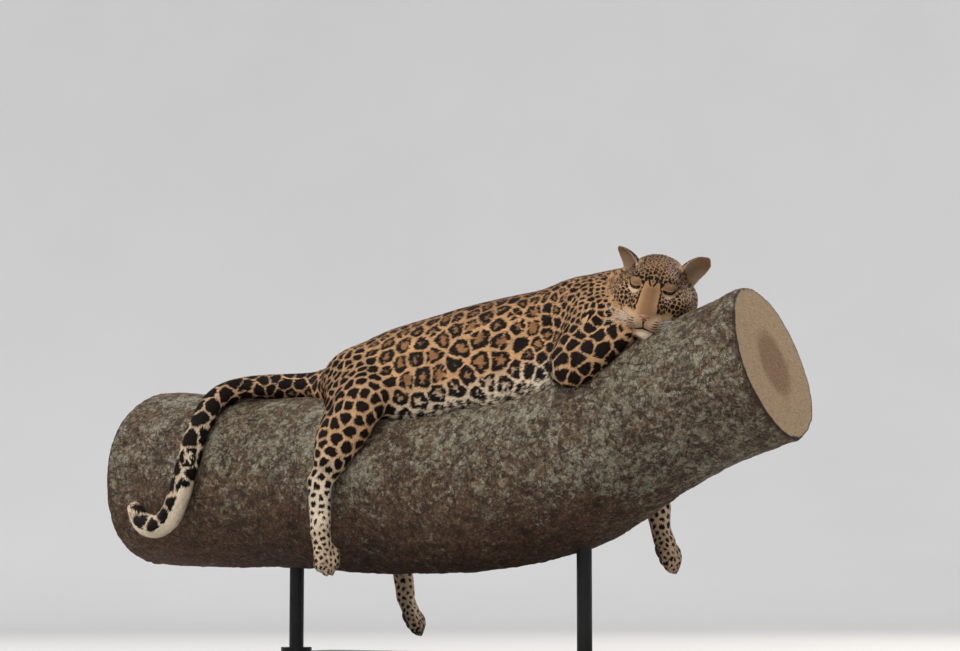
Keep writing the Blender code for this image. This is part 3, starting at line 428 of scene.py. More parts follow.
def make_skin():
    parts, owner = flesh_parts()
    points, faces = stack(parts)
    tree = BVHTree.FromPolygons(points.tolist(), faces.tolist())
    paw_nodes = ("forepaw_left", "hindpaw_left", "hindpaw_right")
    grown = []
    for (p, f), name in zip(parts, FLESH):
        if name not in paw_nodes:
            thing = new_object("grow", p.tolist(), f.tolist())
            grown.append((p + GROWTH * normals_of(thing.data), f))
            bpy.data.objects.remove(thing)
    for leg in PAWS:
        grown += Paw(leg).flesh()
    for sign in (1, -1):
        grown.append(ball_parts(from_head(EYE_PLACE * (1, sign, 1)),
                                ((EYE_RADIUS + LID * 0.9) * HEAD_SCALE,) * 3, np.eye(3)))
    grown.append(ball_parts(from_head(NOSE_AT - (0.004, 0, 0)), (0.0095, 0.0120, 0.0080),
                            HEAD_TURN.T))
    p, f = stack(grown)
    skin = bulk_object("skin", p, f)
    fresh = skin.modifiers.new("fresh", "REMESH")
    fresh.mode, fresh.voxel_size = "VOXEL", SKIN_VOXEL
    apply_modifiers(skin)
    # the crevices beside the head are filled: out, a fresh surface, and back
    for sign in (1, -1):
        p = points_of(skin.data)
        wall = head_seam(skin.data, p, tree, owner)
        set_points(skin.data, p + sign * CREVICE * wall[:, None] * normals_of(skin.data))
        if sign > 0:
            fresh = skin.modifiers.new("fresh", "REMESH")
            fresh.mode, fresh.voxel_size = "VOXEL", SKIN_VOXEL
            apply_modifiers(skin)
    mesh = skin.data
    p = points_of(mesh)
    p -= GROWTH * (1 - pawness_at(p))[:, None] * normals_of(mesh)
    set_points(mesh, p)
    local = to_head(p)
    from_middle = np.linalg.norm((local - (0.01, 0, 0)) / (1.15, 1.0, 1.0), axis=1)
    headness = 1 - ease(from_middle, 0.088, 0.125)
    pawness = pawness_at(p)
    rim = np.abs(lump(local, *HEAD_EGG)) * HEAD_SCALE
    seam = (1 - ease(rim, 0.004, 0.011)) * ease(0.075 - local[:, 0], 0, 0.02)
    soft = 1 - 0.80 * headness * (1 - seam) - 0.75 * pawness * (1 - headness)
    ears = np.zeros(len(p))
    for root, stand, _ in EARS.values():
        rise = (local - root) @ unit(stand)
        near = np.linalg.norm(local - root - 0.045 * unit(stand), axis=1) < 0.040
        soft = np.maximum(soft, 0.8 * near * ease(rise, 0.030, 0.044))
        ears = np.maximum(ears, near)
    group = skin.vertex_groups.new(name="soft")
    for level in np.linspace(0.1, 1.0, 10):
        chosen = np.flatnonzero(np.abs(soft - level) <= 0.05001)
        group.add(chosen.tolist(), float(level), "REPLACE")
    ease_off = skin.modifiers.new("ease", "SMOOTH")
    ease_off.factor, ease_off.iterations, ease_off.vertex_group = 0.5, 28, "soft"
    # the cut round the head and the wrists melt over a wider band
    band = (1 - ease(rim, 0.006, 0.026)) * ease(0.070 - local[:, 0], 0, 0.02)
    band = np.maximum(band, head_seam(mesh, p, tree, owner))
    for leg in PAWS:
        gone = np.linalg.norm(p - np.array(LEGS[leg][3]), axis=1)
        band = np.maximum(band, 1 - ease(gone, 0.034, 0.052))
    group = skin.vertex_groups.new(name="band")
    for level in np.linspace(0.1, 1.0, 10):
        chosen = np.flatnonzero(np.abs(band - level) <= 0.05001)
        group.add(chosen.tolist(), float(level), "REPLACE")
    wide = skin.modifiers.new("wide", "SMOOTH")
    wide.factor, wide.iterations, wide.vertex_group = 0.8, 130, "band"
    apply_modifiers(skin)
    # the face settles on the head's own shape
    mesh = skin.data
    p = points_of(mesh)
    for _ in range(3):
        near = np.flatnonzero(headness > 0.05)
        local = to_head(p[near])
        off = head_shape(local) * HEAD_SCALE
        ear = np.full(len(near), 9.0)
        for name in EARS:
            root, stand, opening = (np.array(v) for v in EARS[name])
            root, stand = from_head(root), unit(way_from_head(stand))
            d, _, _ = along_line(p[near], [root + stand * 0.012, root + stand * 0.065])
            ear = np.minimum(ear, d)
        trust = (1 - ease(np.abs(off), 0.003, 0.0065)) * ease(ear, 0.026, 0.038)
        trust *= ease(headness[near], 0.1, 0.6) * (1 - band[near])
        normals = normals_of(mesh)[near]
        p[near] -= (0.85 * off * trust)[:, None] * normals
        set_points(mesh, p)
    group = skin.vertex_groups.get("thin") or skin.vertex_groups.new(name="thin")
    thin = (1 - ease(headness, 0.2, 0.7)) * (1 - ears)
    for level in (0.0, 0.25, 0.5, 0.75, 1.0):
        chosen = np.flatnonzero(np.abs(thin - level) <= 0.12501)
        group.add(chosen.tolist(), float(level), "REPLACE")
    fewer = skin.modifiers.new("fewer", "DECIMATE")
    fewer.vertex_group, fewer.vertex_group_factor = "thin", 4.0
    fewer.ratio = SKIN_TRIANGLES / (2 * len(mesh.polygons))
    fewer.use_collapse_triangulate = True
    apply_modifiers(skin)
    for _ in range(2):
        make_finer(skin, lambda edge: edge.calc_length() > SKIN_LONGEST)
    return skin, tree, owner


# the face: lids, mouth and the split lip, cut into the skin
SLIT_HALF_WIDTH, SLIT_HALF_HEIGHT, SLIT_SAG = 0.0125, 0.0010, 0.0040
EYE_REACH = 0.023  # from the eye's middle to the edge of its socket
LIP_DEPTH, LIP_WIDTH = 0.0032, 0.0015
SPLIT_DEPTH, SPLIT_WIDTH = 0.0016, 0.0013
PHILTRUM_HEIGHTS = (-0.0310, -0.0350, -0.0390, -0.0430, -0.0485)
# dark lines of one half of the face: half width, then (aside, up) as seen from the front
FACE_LINES = (
    (0.0014, ((0.0190, 0.0130), (0.0170, 0.0240), (0.0150, 0.0340), (0.0172, 0.0430))),
    (0.0020, ((0.0030, 0.0265), (0.0068, 0.0325), (0.0085, 0.0400))),
    (0.0015, ((0.0205, 0.0130), (0.0200, 0.0040), (0.0215, -0.0050), (0.0240, -0.0120))),
    (0.0011, ((0.0250, 0.0040), (0.0340, 0.0005), (0.0440, 0.0040))),
    (0.0011, ((0.0270, -0.0040), (0.0360, -0.0060), (0.0460, -0.0030))),
    (0.0013, ((0.0220, 0.0335), (0.0290, 0.0375), (0.0380, 0.0355))),
    (0.0013, ((0.0430, 0.0170), (0.0480, 0.0205), (0.0520, 0.0225))),
    (0.0011, ((0.0475, 0.0110), (0.0510, 0.0120), (0.0550, 0.0140))),
)


def eye_axes(sign):
    """Rows: out of the eye, aside (away from the nose), and up, in the head's frame."""
    outward = unit((0.91, 0.41 * sign, 0.0))
    aside = unit(np.cross((0, 0, 1), outward)) * sign
    return np.array([outward, aside, (0, 0, 1)])


def in_eye(local, sign):
    """Points of the head's frame as (out, aside, up) from the eye's middle."""
    return (local - EYE_PLACE * (1, sign, 1)) @ eye_axes(sign).T


def before_eye(eye):
    """Whether points, as seen from the eye's middle, lie on the front of its lids."""
    return (eye[:, 0] > 0) & (np.linalg.norm(eye, axis=1) < EYE_REACH)


def slit_place(eye):
    """How far above the slit's middle line a point is, and the slit's half height there."""
    share = np.clip(eye[:, 1] / SLIT_HALF_WIDTH, -1, 1)
    middle = -SLIT_SAG * (1 - share**2) + 0.0012 * share
    return eye[:, 2] - middle, SLIT_HALF_HEIGHT * np.sqrt(np.maximum(1 - share**2, 0))


class Face:
    """The head's skin before the mouth is cut, to place lips, lines and whiskers on."""

    def __init__(self, skin):
        self.tree = BVHTree.FromPolygons(to_head(points_of(skin.data)).tolist(),
                                         triangles_of(skin.data).tolist())
        sides = [self.muzzle_line(LIP_HEIGHTS, np.array(LIP_TURNS) * sign) for sign in (-1, 1)]
        self.lips = np.vstack([sides[0][::-1], sides[1][1:]])
        self.split = np.array([self.point((0.06, 0, height), (1, 0, 0))
                               for height in PHILTRUM_HEIGHTS])
        self.strokes = self.dark_lines()

    def point(self, start, way):
        """Where a line from a point in the head, in its own frame, leaves the skin."""
        return np.array(self.tree.ray_cast(Vector(start), Vector(unit(way)))[0])

    def front(self, aside, up):
        """The point of the skin that is seen from the front at that place."""
        return self.point((0.3, aside, up), (-1, 0, 0))

    def muzzle_line(self, heights, turns):
        """Points on the muzzle from their heights and their turns round from the front."""
        return np.array([self.point((LIP_CENTRE_X, 0, height), (math.cos(turn), math.sin(turn), 0))
                         for height, turn in zip(heights, np.radians(turns))])

    def sunk(self, line, cut):
        """A line half way down the cut that will follow it."""
        return line - cut / 2 * unit((line - (LIP_CENTRE_X - 0.03, 0, 0)) * (1, 1, 0))

    def dark_lines(self):
        """Dark lines of the face: (line in the head's frame, half width, strength)."""
        made = [(self.sunk(self.lips, LIP_DEPTH), 0.0024, 1.0),
                (self.sunk(self.split, SPLIT_DEPTH), 0.0017, 1.0)]
        for sign in (1, -1):
            for row in range(4):
                height = -0.0290 - 0.0048 * row
                turns = np.linspace(22 - 2 * row, 74, 7) * sign
                made.append((self.muzzle_line(np.linspace(height, height - 0.003, 7), turns),
                             0.0011, 0.90))
            made.append((self.muzzle_line((-0.0500, -0.0530), (82 * sign, 90 * sign)), 0.0045, 0.9))
            base = EYE_PLACE * (1, sign, 1)
            axes = eye_axes(sign)
            outline = []
            for share in np.linspace(-1, 1, 9):
                up = -SLIT_SAG * (1 - share**2) + 0.0012 * share
                out = math.sqrt(max((EYE_RADIUS + LID) ** 2 - (share * SLIT_HALF_WIDTH) ** 2
                                    - up**2, 0))
                outline.append(base + np.array((out, share * SLIT_HALF_WIDTH, up)) @ axes)
            made.append((np.array(outline), 0.0034, 1.0))
            for half, line in FACE_LINES:
                spots = [self.front(aside * sign, up) for aside, up in line]
                made.append((smooth_run(spots, 3), half, 0.95))
        return made


def shape_face(skin, face):
    lips, split = face.lips, face.split
    for level in range(2):
        local = to_head(points_of(skin.data))
        mask = np.zeros(len(local), bool)
        for sign in (1, -1):
            eye = in_eye(local, sign)
            mask |= (np.hypot(eye[:, 1], eye[:, 2] * 1.3) < 0.0165) & before_eye(eye)
        if level == 0:
            mask |= along_line(local, lips)[0] < 0.007
            mask |= along_line(local, split)[0] < 0.006
            mask |= np.linalg.norm(local - NOSE_AT, axis=1) < 0.019
        make_finer(skin, lambda e: mask[e.verts[0].index] and mask[e.verts[1].index])
    mesh = skin.data
    p = points_of(mesh)
    local = to_head(p)
    inward = np.zeros(len(p))
    d = along_line(local, lips)[0]
    inward += LIP_DEPTH * np.exp(-(d / LIP_WIDTH) ** 2)
    inward -= 0.0007 * np.exp(-((d - 0.0038) / 0.0016) ** 2)
    d = along_line(local, split)[0]
    inward += SPLIT_DEPTH * np.exp(-(d / SPLIT_WIDTH) ** 2)
    for sign in (1, -1):
        eye = in_eye(local, sign)
        off, tall = slit_place(eye)
        reach = np.hypot(eye[:, 1], eye[:, 2])
        front = before_eye(eye)
        fold = np.exp(-((off - 0.0062) / 0.0011) ** 2) * (1 - ease(reach, 0.012, 0.018))
        inward += 0.0009 * fold * front
        fold = np.exp(-((off + 0.0058) / 0.0012) ** 2) * (1 - ease(reach, 0.010, 0.016))
        inward += 0.0006 * fold * front
    p -= inward[:, None] * normals_of(mesh)
    local = to_head(p)
    for sign in (1, -1):
        eye = in_eye(local, sign)
        off, tall = slit_place(eye)
        inside = np.maximum(np.abs(off) - tall, np.abs(eye[:, 1]) - SLIT_HALF_WIDTH)
        sink = (1 - ease(inside, -0.0005, 0.0002)) * before_eye(eye)
        radius = np.linalg.norm(eye, axis=1)
        wanted = EYE_RADIUS - 0.0030
        target = eye * (wanted / np.maximum(radius, 1e-6))[:, None]
        eye = eye + (target - eye) * np.where(radius > wanted, sink, 0)[:, None]
        moved = eye @ eye_axes(sign) + EYE_PLACE * (1, sign, 1)
        chosen = sink > 0
        p[chosen] = from_head(moved[chosen])
    set_points(mesh, p)


def rest_on(skin, perch):
    """Skin that hangs just off the branch is laid on it."""
    points = points_of(skin.data)
    found = [perch.find_nearest(p) for p in points.tolist()]
    gap = np.array([f[3] for f in found])
    laid = np.array([f[0] for f in found])
    share = 0.9 * (1 - ease(gap, REST_FULL, REST_NONE))
    set_points(skin.data, points + (laid - points) * share[:, None])


# regions of the skin: what each point's coat is like
MM = 0.001
KINDS = ("spacing", "edge", "open", "spots", "pale", "depth", "length", "width")
BASE_LOOK = {
    # spot spacing, half the lattice, share open, spots at all, pale, coat depth, tuft, width
    "head": (9.0, 0.55, 0, 1, 0.05, 1.2, 4.2, 0.80),
    "ear": (9.0, 2.0, 0, 0, 0.05, 0.6, 3.2, 0.70),
    "neck": (14.0, 1.5, 0.10, 1, 0.08, 3.0, 7.5, 1.10),
    "torso": (43.0, 2.7, 0.85, 1, 0.0, 3.4, 7.5, 1.25),
    "foreleg": (32.0, 1.9, 0.0, 1, 0.05, 2.8, 6.5, 1.15),
    "hindleg": (29.0, 2.5, 0.0, 1, 0.10, 2.8, 6.5, 1.15),
    "forepaw": (12.0, 2.2, 0, 1, 0.45, 1.0, 4.2, 0.90),
    "hindpaw": (12.0, 2.2, 0, 1, 0.60, 1.0, 4.2, 0.90),
    "tail": (34.0, 0.85, 0.1, 1, 0.12, 2.8, 9.0, 1.20),
}


def node_weights(points, tree, owner, edges):
    """How much each point belongs to each flesh node, blended across their cuts."""
    nearest = np.array([owner[tree.find_nearest(p)[2]] for p in points.tolist()])
    return spread(np.eye(len(FLESH))[nearest], edges, 16)


def weight_of(weights, *starts):
    chosen = [i for i, name in enumerate(FLESH) if name.startswith(starts)]
    return weights[:, chosen].sum(1)


def trunk_angle(points):
    """Degrees round the trunk from the top of the back."""
    xs, zs = np.array(SPINE)[::-1, 0], np.array(SPINE)[::-1, 2]
    middle = np.interp(points[:, 0], xs, zs)
    return np.degrees(np.arctan2(np.abs(points[:, 1]), points[:, 2] - middle))


def tail_under(points):
    """The way of the tail's underside at each point, and its place from root to tip."""
    _, place, way = along_line(points, smooth_run(TAIL, 3))
    return unit(np.cross(way, (0, 1, 0))), place


def leg_places(points):
    """For each leg: the place along it from the hip or shoulder, and its way."""
    return {leg: along_line(points, LEGS[leg])[1:] for leg in LEGS}


LEG_NODES = {"hind_right": ("hindleg_right", "hindpaw_right"),
             "hind_left": ("hindleg_left", "hindpaw_left"),
             "fore_right": ("foreleg_right",),
             "fore_left": ("foreleg_left", "forepaw_left")}


def flow_of(points, normals, weights, edges, legs):
    """The lie of the coat: a way along the skin at each of its points."""
    angle = trunk_angle(points)
    trunk = np.tile((-1.0, 0.0, 0.0), (len(points), 1))
    trunk[:, 2] = -0.45 * ease(angle, 30, 100)
    total = weight_of(weights, "torso", "neck")[:, None] * trunk
    for leg, nodes in LEG_NODES.items():
        total += weight_of(weights, *nodes)[:, None] * legs[leg][1]
    _, _, way = along_line(points, smooth_run(TAIL, 3))
    total += weight_of(weights, "tail")[:, None] * way
    local = to_head(points)
    away = unit(way_from_head(unit(local - NOSE_AT + (0, 0, 0.004))))
    total += weight_of(weights, "head")[:, None] * away
    for name in EARS:
        total += weight_of(weights, name)[:, None] * unit(way_from_head(EARS[name][1]))
    for rounds in (14, 6):
        total = unit(total - (total * normals).sum(1)[:, None] * normals)
        total = spread(total, edges, rounds)
    return unit(total - (total * normals).sum(1)[:, None] * normals)


def look_of_skin(points, normals, weights, legs):
    """The regions' numbers at each point of the skin, as a dictionary of arrays."""
    rows = np.array([next(BASE_LOOK[k] for k in BASE_LOOK if name.startswith(k))
                     for name in FLESH])
    look = dict(zip(KINDS, (weights @ rows).T))
    look["back"] = np.zeros(len(points))
    look["stretch"] = np.ones(len(points))
    angle, x = trunk_angle(points), points[:, 0]
    torso, neck = weight_of(weights, "torso"), weight_of(weights, "neck")
    trunk = torso + neck
    haunch = ease(-x, 0.13, 0.29)
    shoulder, nape = ease(x, 0.13, 0.24), ease(x, 0.25, 0.33)
    size = 24 + 20 * ease(angle, 12, 62)
    size *= (1 - 0.42 * haunch) * (1 - 0.36 * shoulder)
    size += (14 - size) * nape
    look["spacing"] += torso * (size - 43)
    thin = 0.9 * (1 - ease(angle, 15, 60)) + 0.4 * haunch + 0.4 * shoulder + 0.7 * nape
    look["edge"] -= torso * np.minimum(thin, 1.4)
    look["open"] += torso * (0.15 - 0.55 * (1 - ease(angle, 15, 45)) - 0.55 * haunch
                             - 0.55 * shoulder)
    look["stretch"] += torso * 0.5 * (1 - ease(angle, 18, 50))
    streaks = torso * ease(x, 0.17, 0.24) * (1 - nape) * ease(angle, 35, 60)
    look["stretch"] *= 1 - 0.42 * streaks
    look["stretch"] += 0.45 * np.maximum(neck, torso * nape)
    look["back"] += trunk * (1 - ease(angle, 15, 75))
    look["pale"] += trunk * 0.95 * ease(angle, 108, 134) * (1 - nape)
    look["length"] += trunk * (10 * ease(angle, 120, 142) - 1.5 * (1 - ease(angle, 20, 60)))
    for leg, nodes in LEG_NODES.items():
        weight, place = weight_of(weights, nodes[0]), legs[leg][0]
        if leg == "fore_right":
            # the shoulder above the arm has the neck's small spots
            high = points[:, 2] - 0.70 - 0.45 * (x - 0.34)
            above = ease(high, -0.012, 0.018)
            look["spacing"] -= weight * (6 * ease(place, 0.62, 1.0) + 16 * above)
            look["edge"] -= weight * 0.5 * above
            look["stretch"] += weight * 0.3 * above
            # a long pale tuft where the arm leaves the flank
            pit = np.exp(-(np.linalg.norm(points - ARMPIT, axis=1) / 0.030) ** 2)
            look["pale"] += 0.9 * pit
            look["length"] += 13 * pit
        else:
            shrink = ease(place, 0.40, 0.80)
            look["spacing"] += weight * (9 * ease(place, 0.02, 0.25) - 8 - 14 * shrink)
            look["edge"] += weight * 0.9 * shrink
            # the lower legs have pale fur; the hanging right hind leg's extra paleness is painted light
            pale = 0.80 if leg == "hind_right" else 0.45
            look["pale"] += weight * pale * ease(place, 0.45, 0.72)
            look["depth"] -= weight * 1.2 * shrink
            look["length"] -= weight * 2.0 * shrink
    tail = weight_of(weights, "tail")
    under, place = tail_under(points)
    low = (under * normals).sum(1)
    look["spacing"] += tail * (-5 + 13 * ease(place, 0.2, 0.6))
    look["edge"] += tail * (0.3 - 0.6 * ease(place, 0.25, 0.5))
    look["pale"] += tail * (0.5 * ease(place, 0.35, 0.6)
                            + ease(low, 0.2, 0.6) * ease(place, 0.6, 0.75))
    look["spots"] -= tail * 1.4 * ease(low, 0.40, 0.62) * ease(place, 0.70, 0.80)
    look["length"] += tail * (4 * ease(place, 0.85, 1.0) - 2.5 * (1 - ease(place, 0.1, 0.4)))
    return look


# spots and rosettes
def head_look(points, weights, look):
    """Changes the regions' numbers on the head: its spots, its plain bridge, its pale parts."""
    local = to_head(points)
    head = weight_of(weights, "head")
    x, side, z = local[:, 0], np.abs(local[:, 1]), local[:, 2]
    front = ease(x, 0.052, 0.070) * ease(z, -0.026, -0.016)
    bridge, ridge = ((1 - ease(side, near, far)) * front
                     for near, far in ((0.007, 0.0225), (0.003, 0.018)))
    muzzle = ease(x, 0.068, 0.082) * (1 - ease(z, -0.026, -0.016))
    chin = ease(x, 0.010, 0.040) * (1 - ease(z, -0.062, -0.050))
    around, lid = np.zeros(len(points)), np.zeros(len(points))
    for sign in (1, -1):
        eye = in_eye(local, sign)
        near = (1 - ease(np.hypot(eye[:, 1], eye[:, 2] * 1.1), 0.0125, 0.0165)) * (eye[:, 0] > 0)
        around = np.maximum(around, near)
        lid = np.maximum(lid, near * ease(eye[:, 2], 0.000, 0.004))
        above = np.exp(-(((eye[:, 1] + 0.004) / 0.007) ** 2 + ((eye[:, 2] - 0.0125) / 0.003) ** 2))
        below = np.exp(-((eye[:, 1] / 0.015) ** 2 + ((eye[:, 2] + 0.0105) / 0.0042) ** 2))
        look["pale"] += head * (eye[:, 0] > 0) * (0.10 * above + 0.42 * below)
    look["spots"] -= head * 1.5 * np.clip(bridge + muzzle + chin + around, 0, 1)
    # the face's ground is darker brown than the flank's: partly its own colour and partly painted shade over
    # the whole face
    look["back"] += head * (0.55 + 0.45 * np.maximum(bridge, ease(z, 0.010, 0.040))
                            - 0.30 * muzzle - 0.5 * chin)
    look["back"] += head * 0.4 * lid
    # painted shade together with the face's own darker brown, strongest on the nose's ridge, less on the
    # upper lids and the muzzle
    look["dusk"] = head * np.clip(0.90 * ridge + 0.45 * lid + 0.35 * muzzle, 0, 1)
    look["pale"] += head * (0.22 * muzzle + 0.9 * chin)
    look["pale"] += head * 0.30 * (1 - ease(z, -0.050, -0.020)) * ease(side, 0.03, 0.05)
    back = ease(-x, -0.020, 0.030)
    look["spacing"] += head * (2.0 * back + 0.8 * (1 - ease(z, -0.01, 0.02)))
    look["stretch"] += head * 0.45 * ease(z, -0.005, 0.03)
    look["edge"] += head * 0.15 * (1 - ease(z, 0.0, 0.03))
    face = ease(x, 0.01, 0.07)
    look["length"] -= head * (1.6 * face + 0.6 * bridge)
    look["length"] += head * (4.5 * back + 3.0 * chin * (1 - muzzle))
    look["depth"] += head * (1.4 * back - 0.4 * face)
    look["width"] -= head * 0.25 * face
    for name in EARS:
        ear = weight_of(weights, name)
        root, stand, opening = (np.array(v) for v in EARS[name])
        rise = (local - root) @ unit(stand)
        look[name] = ear * ease(rise, 0.004, 0.012)
        look["length"] += ear * 6 * (1 - ease(rise, 0.012, 0.038)) * look["inner"]
        look["pale"] += ear * 0.25 * look["inner"] * (1 - ease(rise, 0.02, 0.05))
        look["back"] += ear * 0.6 * look["inner"]


def ear_inner(points, normals):
    """1 on the hollow side of the ears."""
    inner = np.zeros(len(points))
    local = to_head(points)
    for name in EARS:
        root, stand, opening = (np.array(v) for v in EARS[name])
        near = np.linalg.norm(local - root - unit(stand) * 0.03, axis=1) < 0.05
        facing = normals @ way_from_head(unit(opening))
        inner += near * ease(facing, 0.05, 0.35)
    return np.clip(inner, 0, 1)


def strew(points, look):
    """The seeds of the spots: points of the skin, kept apart by their own spacing."""
    rng = np.random.default_rng(SEED)
    order = rng.permutation(len(points))[:60000]
    tree = kdtree.KDTree(len(order))
    for k, i in enumerate(order):
        tree.insert(points[i], k)
    tree.balance()
    alive = np.ones(len(order), bool)
    reach = look["spacing"] * MM * 0.78
    kept = []
    for k, i in enumerate(order):
        if alive[k]:
            kept.append(i)
            for _, other, _ in tree.find_range(points[i], reach[i]):
                alive[other] = False
    return np.array(kept)


def tree_of(points):
    tree = kdtree.KDTree(len(points))
    for i, point in enumerate(points.tolist()):
        tree.insert(point, i)
    tree.balance()
    return tree


class Cells:
    """The spots: each grows round its seed as far as the lattice between it and the next."""

    AROUND = 5

    def __init__(self, points, look, flow, normals):
        kept = strew(points, look)
        for _ in range(2):
            tree = tree_of(points[kept])
            nearest = np.array([tree.find(p)[1] for p in points.tolist()])
            count = np.maximum(np.bincount(nearest, minlength=len(kept)), 1)
            middle = np.stack([np.bincount(nearest, points[:, i], len(kept)) / count
                               for i in range(3)], 1)
            skin_tree = tree_of(points)
            kept = np.unique([skin_tree.find(p)[1] for p in middle.tolist()])
        # the two sides of the head carry the same spots
        local = to_head(points[kept])
        head = look["head"][kept] > 0.5
        mirrored = from_head(local[head & (local[:, 1] > 0.004)] * (1, -1, 1))
        mirrored = [skin_tree.find(p)[1] for p in mirrored.tolist()]
        kept = np.r_[kept[~head | (local[:, 1] > -0.004)], np.array(mirrored, int)]
        self.seeds, self.flow, self.normals = points[kept], flow[kept], normals[kept]
        self.tree = tree_of(self.seeds)
        rng = np.random.default_rng(SEED + 1)
        count = len(kept)
        self.is_open = rng.random(count) < look["open"][kept]
        self.ring = rng.uniform(0.20, 0.29, count)
        self.lobes = rng.integers(3, 6, count)
        self.phase = rng.uniform(0, 2 * math.pi, count)
        self.gap = rng.uniform(-0.0030, 0.0026, count)
        self.swell = rng.uniform(-0.4, 0.7, count)

    def at(self, points, look, flow, normals, jitter=0.0):
        """How dark each point is, and how much it takes the darker brown of a rosette's middle and of the
        face, which on the face is partly painted shade; both 0 to 1.
        """
        size = look["spacing"] * MM
        moved = np.stack([ripple(points, 0.022, SEED + 5 + i, 2) for i in range(3)], 1)
        moved = points + moved * (0.045 * size)[:, None]
        found = np.array([[row[1] for row in self.tree.find_n(p, self.AROUND)]
                          for p in moved.tolist()])
        apart = moved[:, None, :] - self.seeds[found]
        along = (apart * flow[:, None, :]).sum(2) / look["stretch"][:, None]
        up = (apart * normals[:, None, :]).sum(2)
        across = (apart * np.cross(normals, flow)[:, None, :]).sum(2)
        square = along**2 + across**2 + up**2
        first = square.argmin(1)
        rows = np.arange(len(points))
        own = square[rows, first]
        gap = np.sqrt((along - along[rows, first][:, None]) ** 2
                      + (across - across[rows, first][:, None]) ** 2
                      + (up - up[rows, first][:, None]) ** 2)
        edge = (square - own[:, None]) / (2 * np.maximum(gap, 1e-5))
        edge[rows, first] = 9.0
        soft = (size / 15)[:, None]
        inside = -soft[:, 0] * np.log(np.exp(-np.minimum(edge / soft, 60)).sum(1))
        seed = found[rows, first]
        lattice = look["edge"] * MM + self.swell[seed] * 0.0007
        lattice += 0.20 * np.maximum(size - 0.033, 0) * ~self.is_open[seed]
        solid = inside - lattice
        turn = np.arctan2(across[rows, first], along[rows, first])
        wave = np.cos(turn * self.lobes[seed] + self.phase[seed])
        ring = self.ring[seed] * size * (1 + 0.22 * wave)
        hole = (inside - lattice - ring) * self.is_open[seed] - 0.02 * ~self.is_open[seed]
        from_gap = np.arccos(np.clip(wave, -1, 1)) / self.lobes[seed] * np.sqrt(own)
        gap_half = self.gap[seed] + 0.0016 * np.cos(turn + 1.7 * self.phase[seed])
        gap_half *= size / 0.040
        broken = from_gap - gap_half + 0.02 * ~self.is_open[seed]
        dark = np.minimum(np.minimum(solid, -hole), broken)
        dark -= 1.1 * size * (1 - ease(look["spots"], 0.0, 1.0))
        soft_edge = (0.5 + 3.2 * look["pale"] * (look["length"] > 11)) * MM
        dark = np.clip(0.5 + (dark + jitter * (MM + soft_edge)) / (2 * soft_edge), 0, 1)
        middle = ease(inside - lattice, 0.3 * ring, 0.9 * ring) * self.is_open[seed]
        # the face's darker brown joins the same share: partly its own colour and partly painted shade
        middle = np.maximum(middle, look["dusk"])
        return dark, middle


def marks_at(points, look, flow, normals, cells, face, jitter=0.0):
    """Dark, darker brown (rosette middles, the face's brown that is partly painted shade, and painted shade
    in the ears' hollows), pale and back shares at points of the skin.
    """
    dark, middle = cells.at(points, look, flow, normals, jitter)
    local = to_head(points)
    near = np.flatnonzero(np.linalg.norm(local - (0.05, 0, 0), axis=1) < 0.11)
    some = jitter[near] if np.ndim(jitter) else jitter
    for line, half, strength in face.strokes:
        d = along_line(local[near], line)[0]
        stroke = strength * (1 - ease(d + some * 0.0005, half * 0.75, half * 1.3))
        dark[near] = np.maximum(dark[near], stroke)
    for name in EARS:
        root, stand, opening = (np.array(v) for v in EARS[name])
        rise = (local - root) @ unit(stand) / 0.059
        outer = look[name] * (1 - look["inner"])
        aside = (local - root) @ unit(np.cross(stand, opening))
        spot = 1 - ease(np.hypot((rise - 0.70) / 0.17, aside / 0.0125), 0.8, 1.1)
        patch = ease(rise + 0.04 * some_noise(points), 0.10, 0.22) * (1 - spot)
        dark = np.maximum(dark, outer * patch)
        # painted shade: a darker hollow along one side of the ear's inside
        hollow = np.exp(-((aside - 0.0060) / 0.0090) ** 2) * (1 - ease(rise, 0.40, 0.80))
        middle = np.maximum(middle, hollow * look[name] * look["inner"])
    return dark, middle, np.clip(look["pale"], 0, 1), np.clip(look["back"], 0, 1)


def some_noise(points):
    return ripple(points, 0.012, SEED + 30, 2)


# the coat
COAT_TUFTS = 450000
TUFTS_A_PIECE = 64000
COAT_PIECES = {
    "coat_head": ("head", "ear"), "coat_neck": ("neck",), "coat_trunk": ("torso",),
    "coat_forelegs": ("foreleg", "forepaw"), "coat_hindlegs": ("hindleg", "hindpaw"),
    "coat_tail": ("tail",),
}
TILES = {
    # each node's place on the unwrap: low corner and size
    "torso": (0.01, 0.01, 0.60, 0.44), "neck": (0.63, 0.01, 0.20, 0.30),
    "head": (0.01, 0.47, 0.30, 0.26), "ear_left": (0.85, 0.01, 0.12, 0.10),
    "ear_right": (0.85, 0.13, 0.12, 0.10), "foreleg_left": (0.33, 0.47, 0.28, 0.20),
    "foreleg_right": (0.63, 0.33, 0.34, 0.24), "forepaw_left": (0.85, 0.59, 0.12, 0.12),
    "hindleg_left": (0.01, 0.75, 0.36, 0.23), "hindleg_right": (0.39, 0.75, 0.36, 0.23),
    "hindpaw_left": (0.85, 0.73, 0.12, 0.12), "hindpaw_right": (0.85, 0.87, 0.12, 0.12),
    "tail_base": (0.33, 0.68, 0.18, 0.06), "tail_middle": (0.52, 0.68, 0.22, 0.06),
    "tail_tip": (0.63, 0.59, 0.20, 0.08),
}


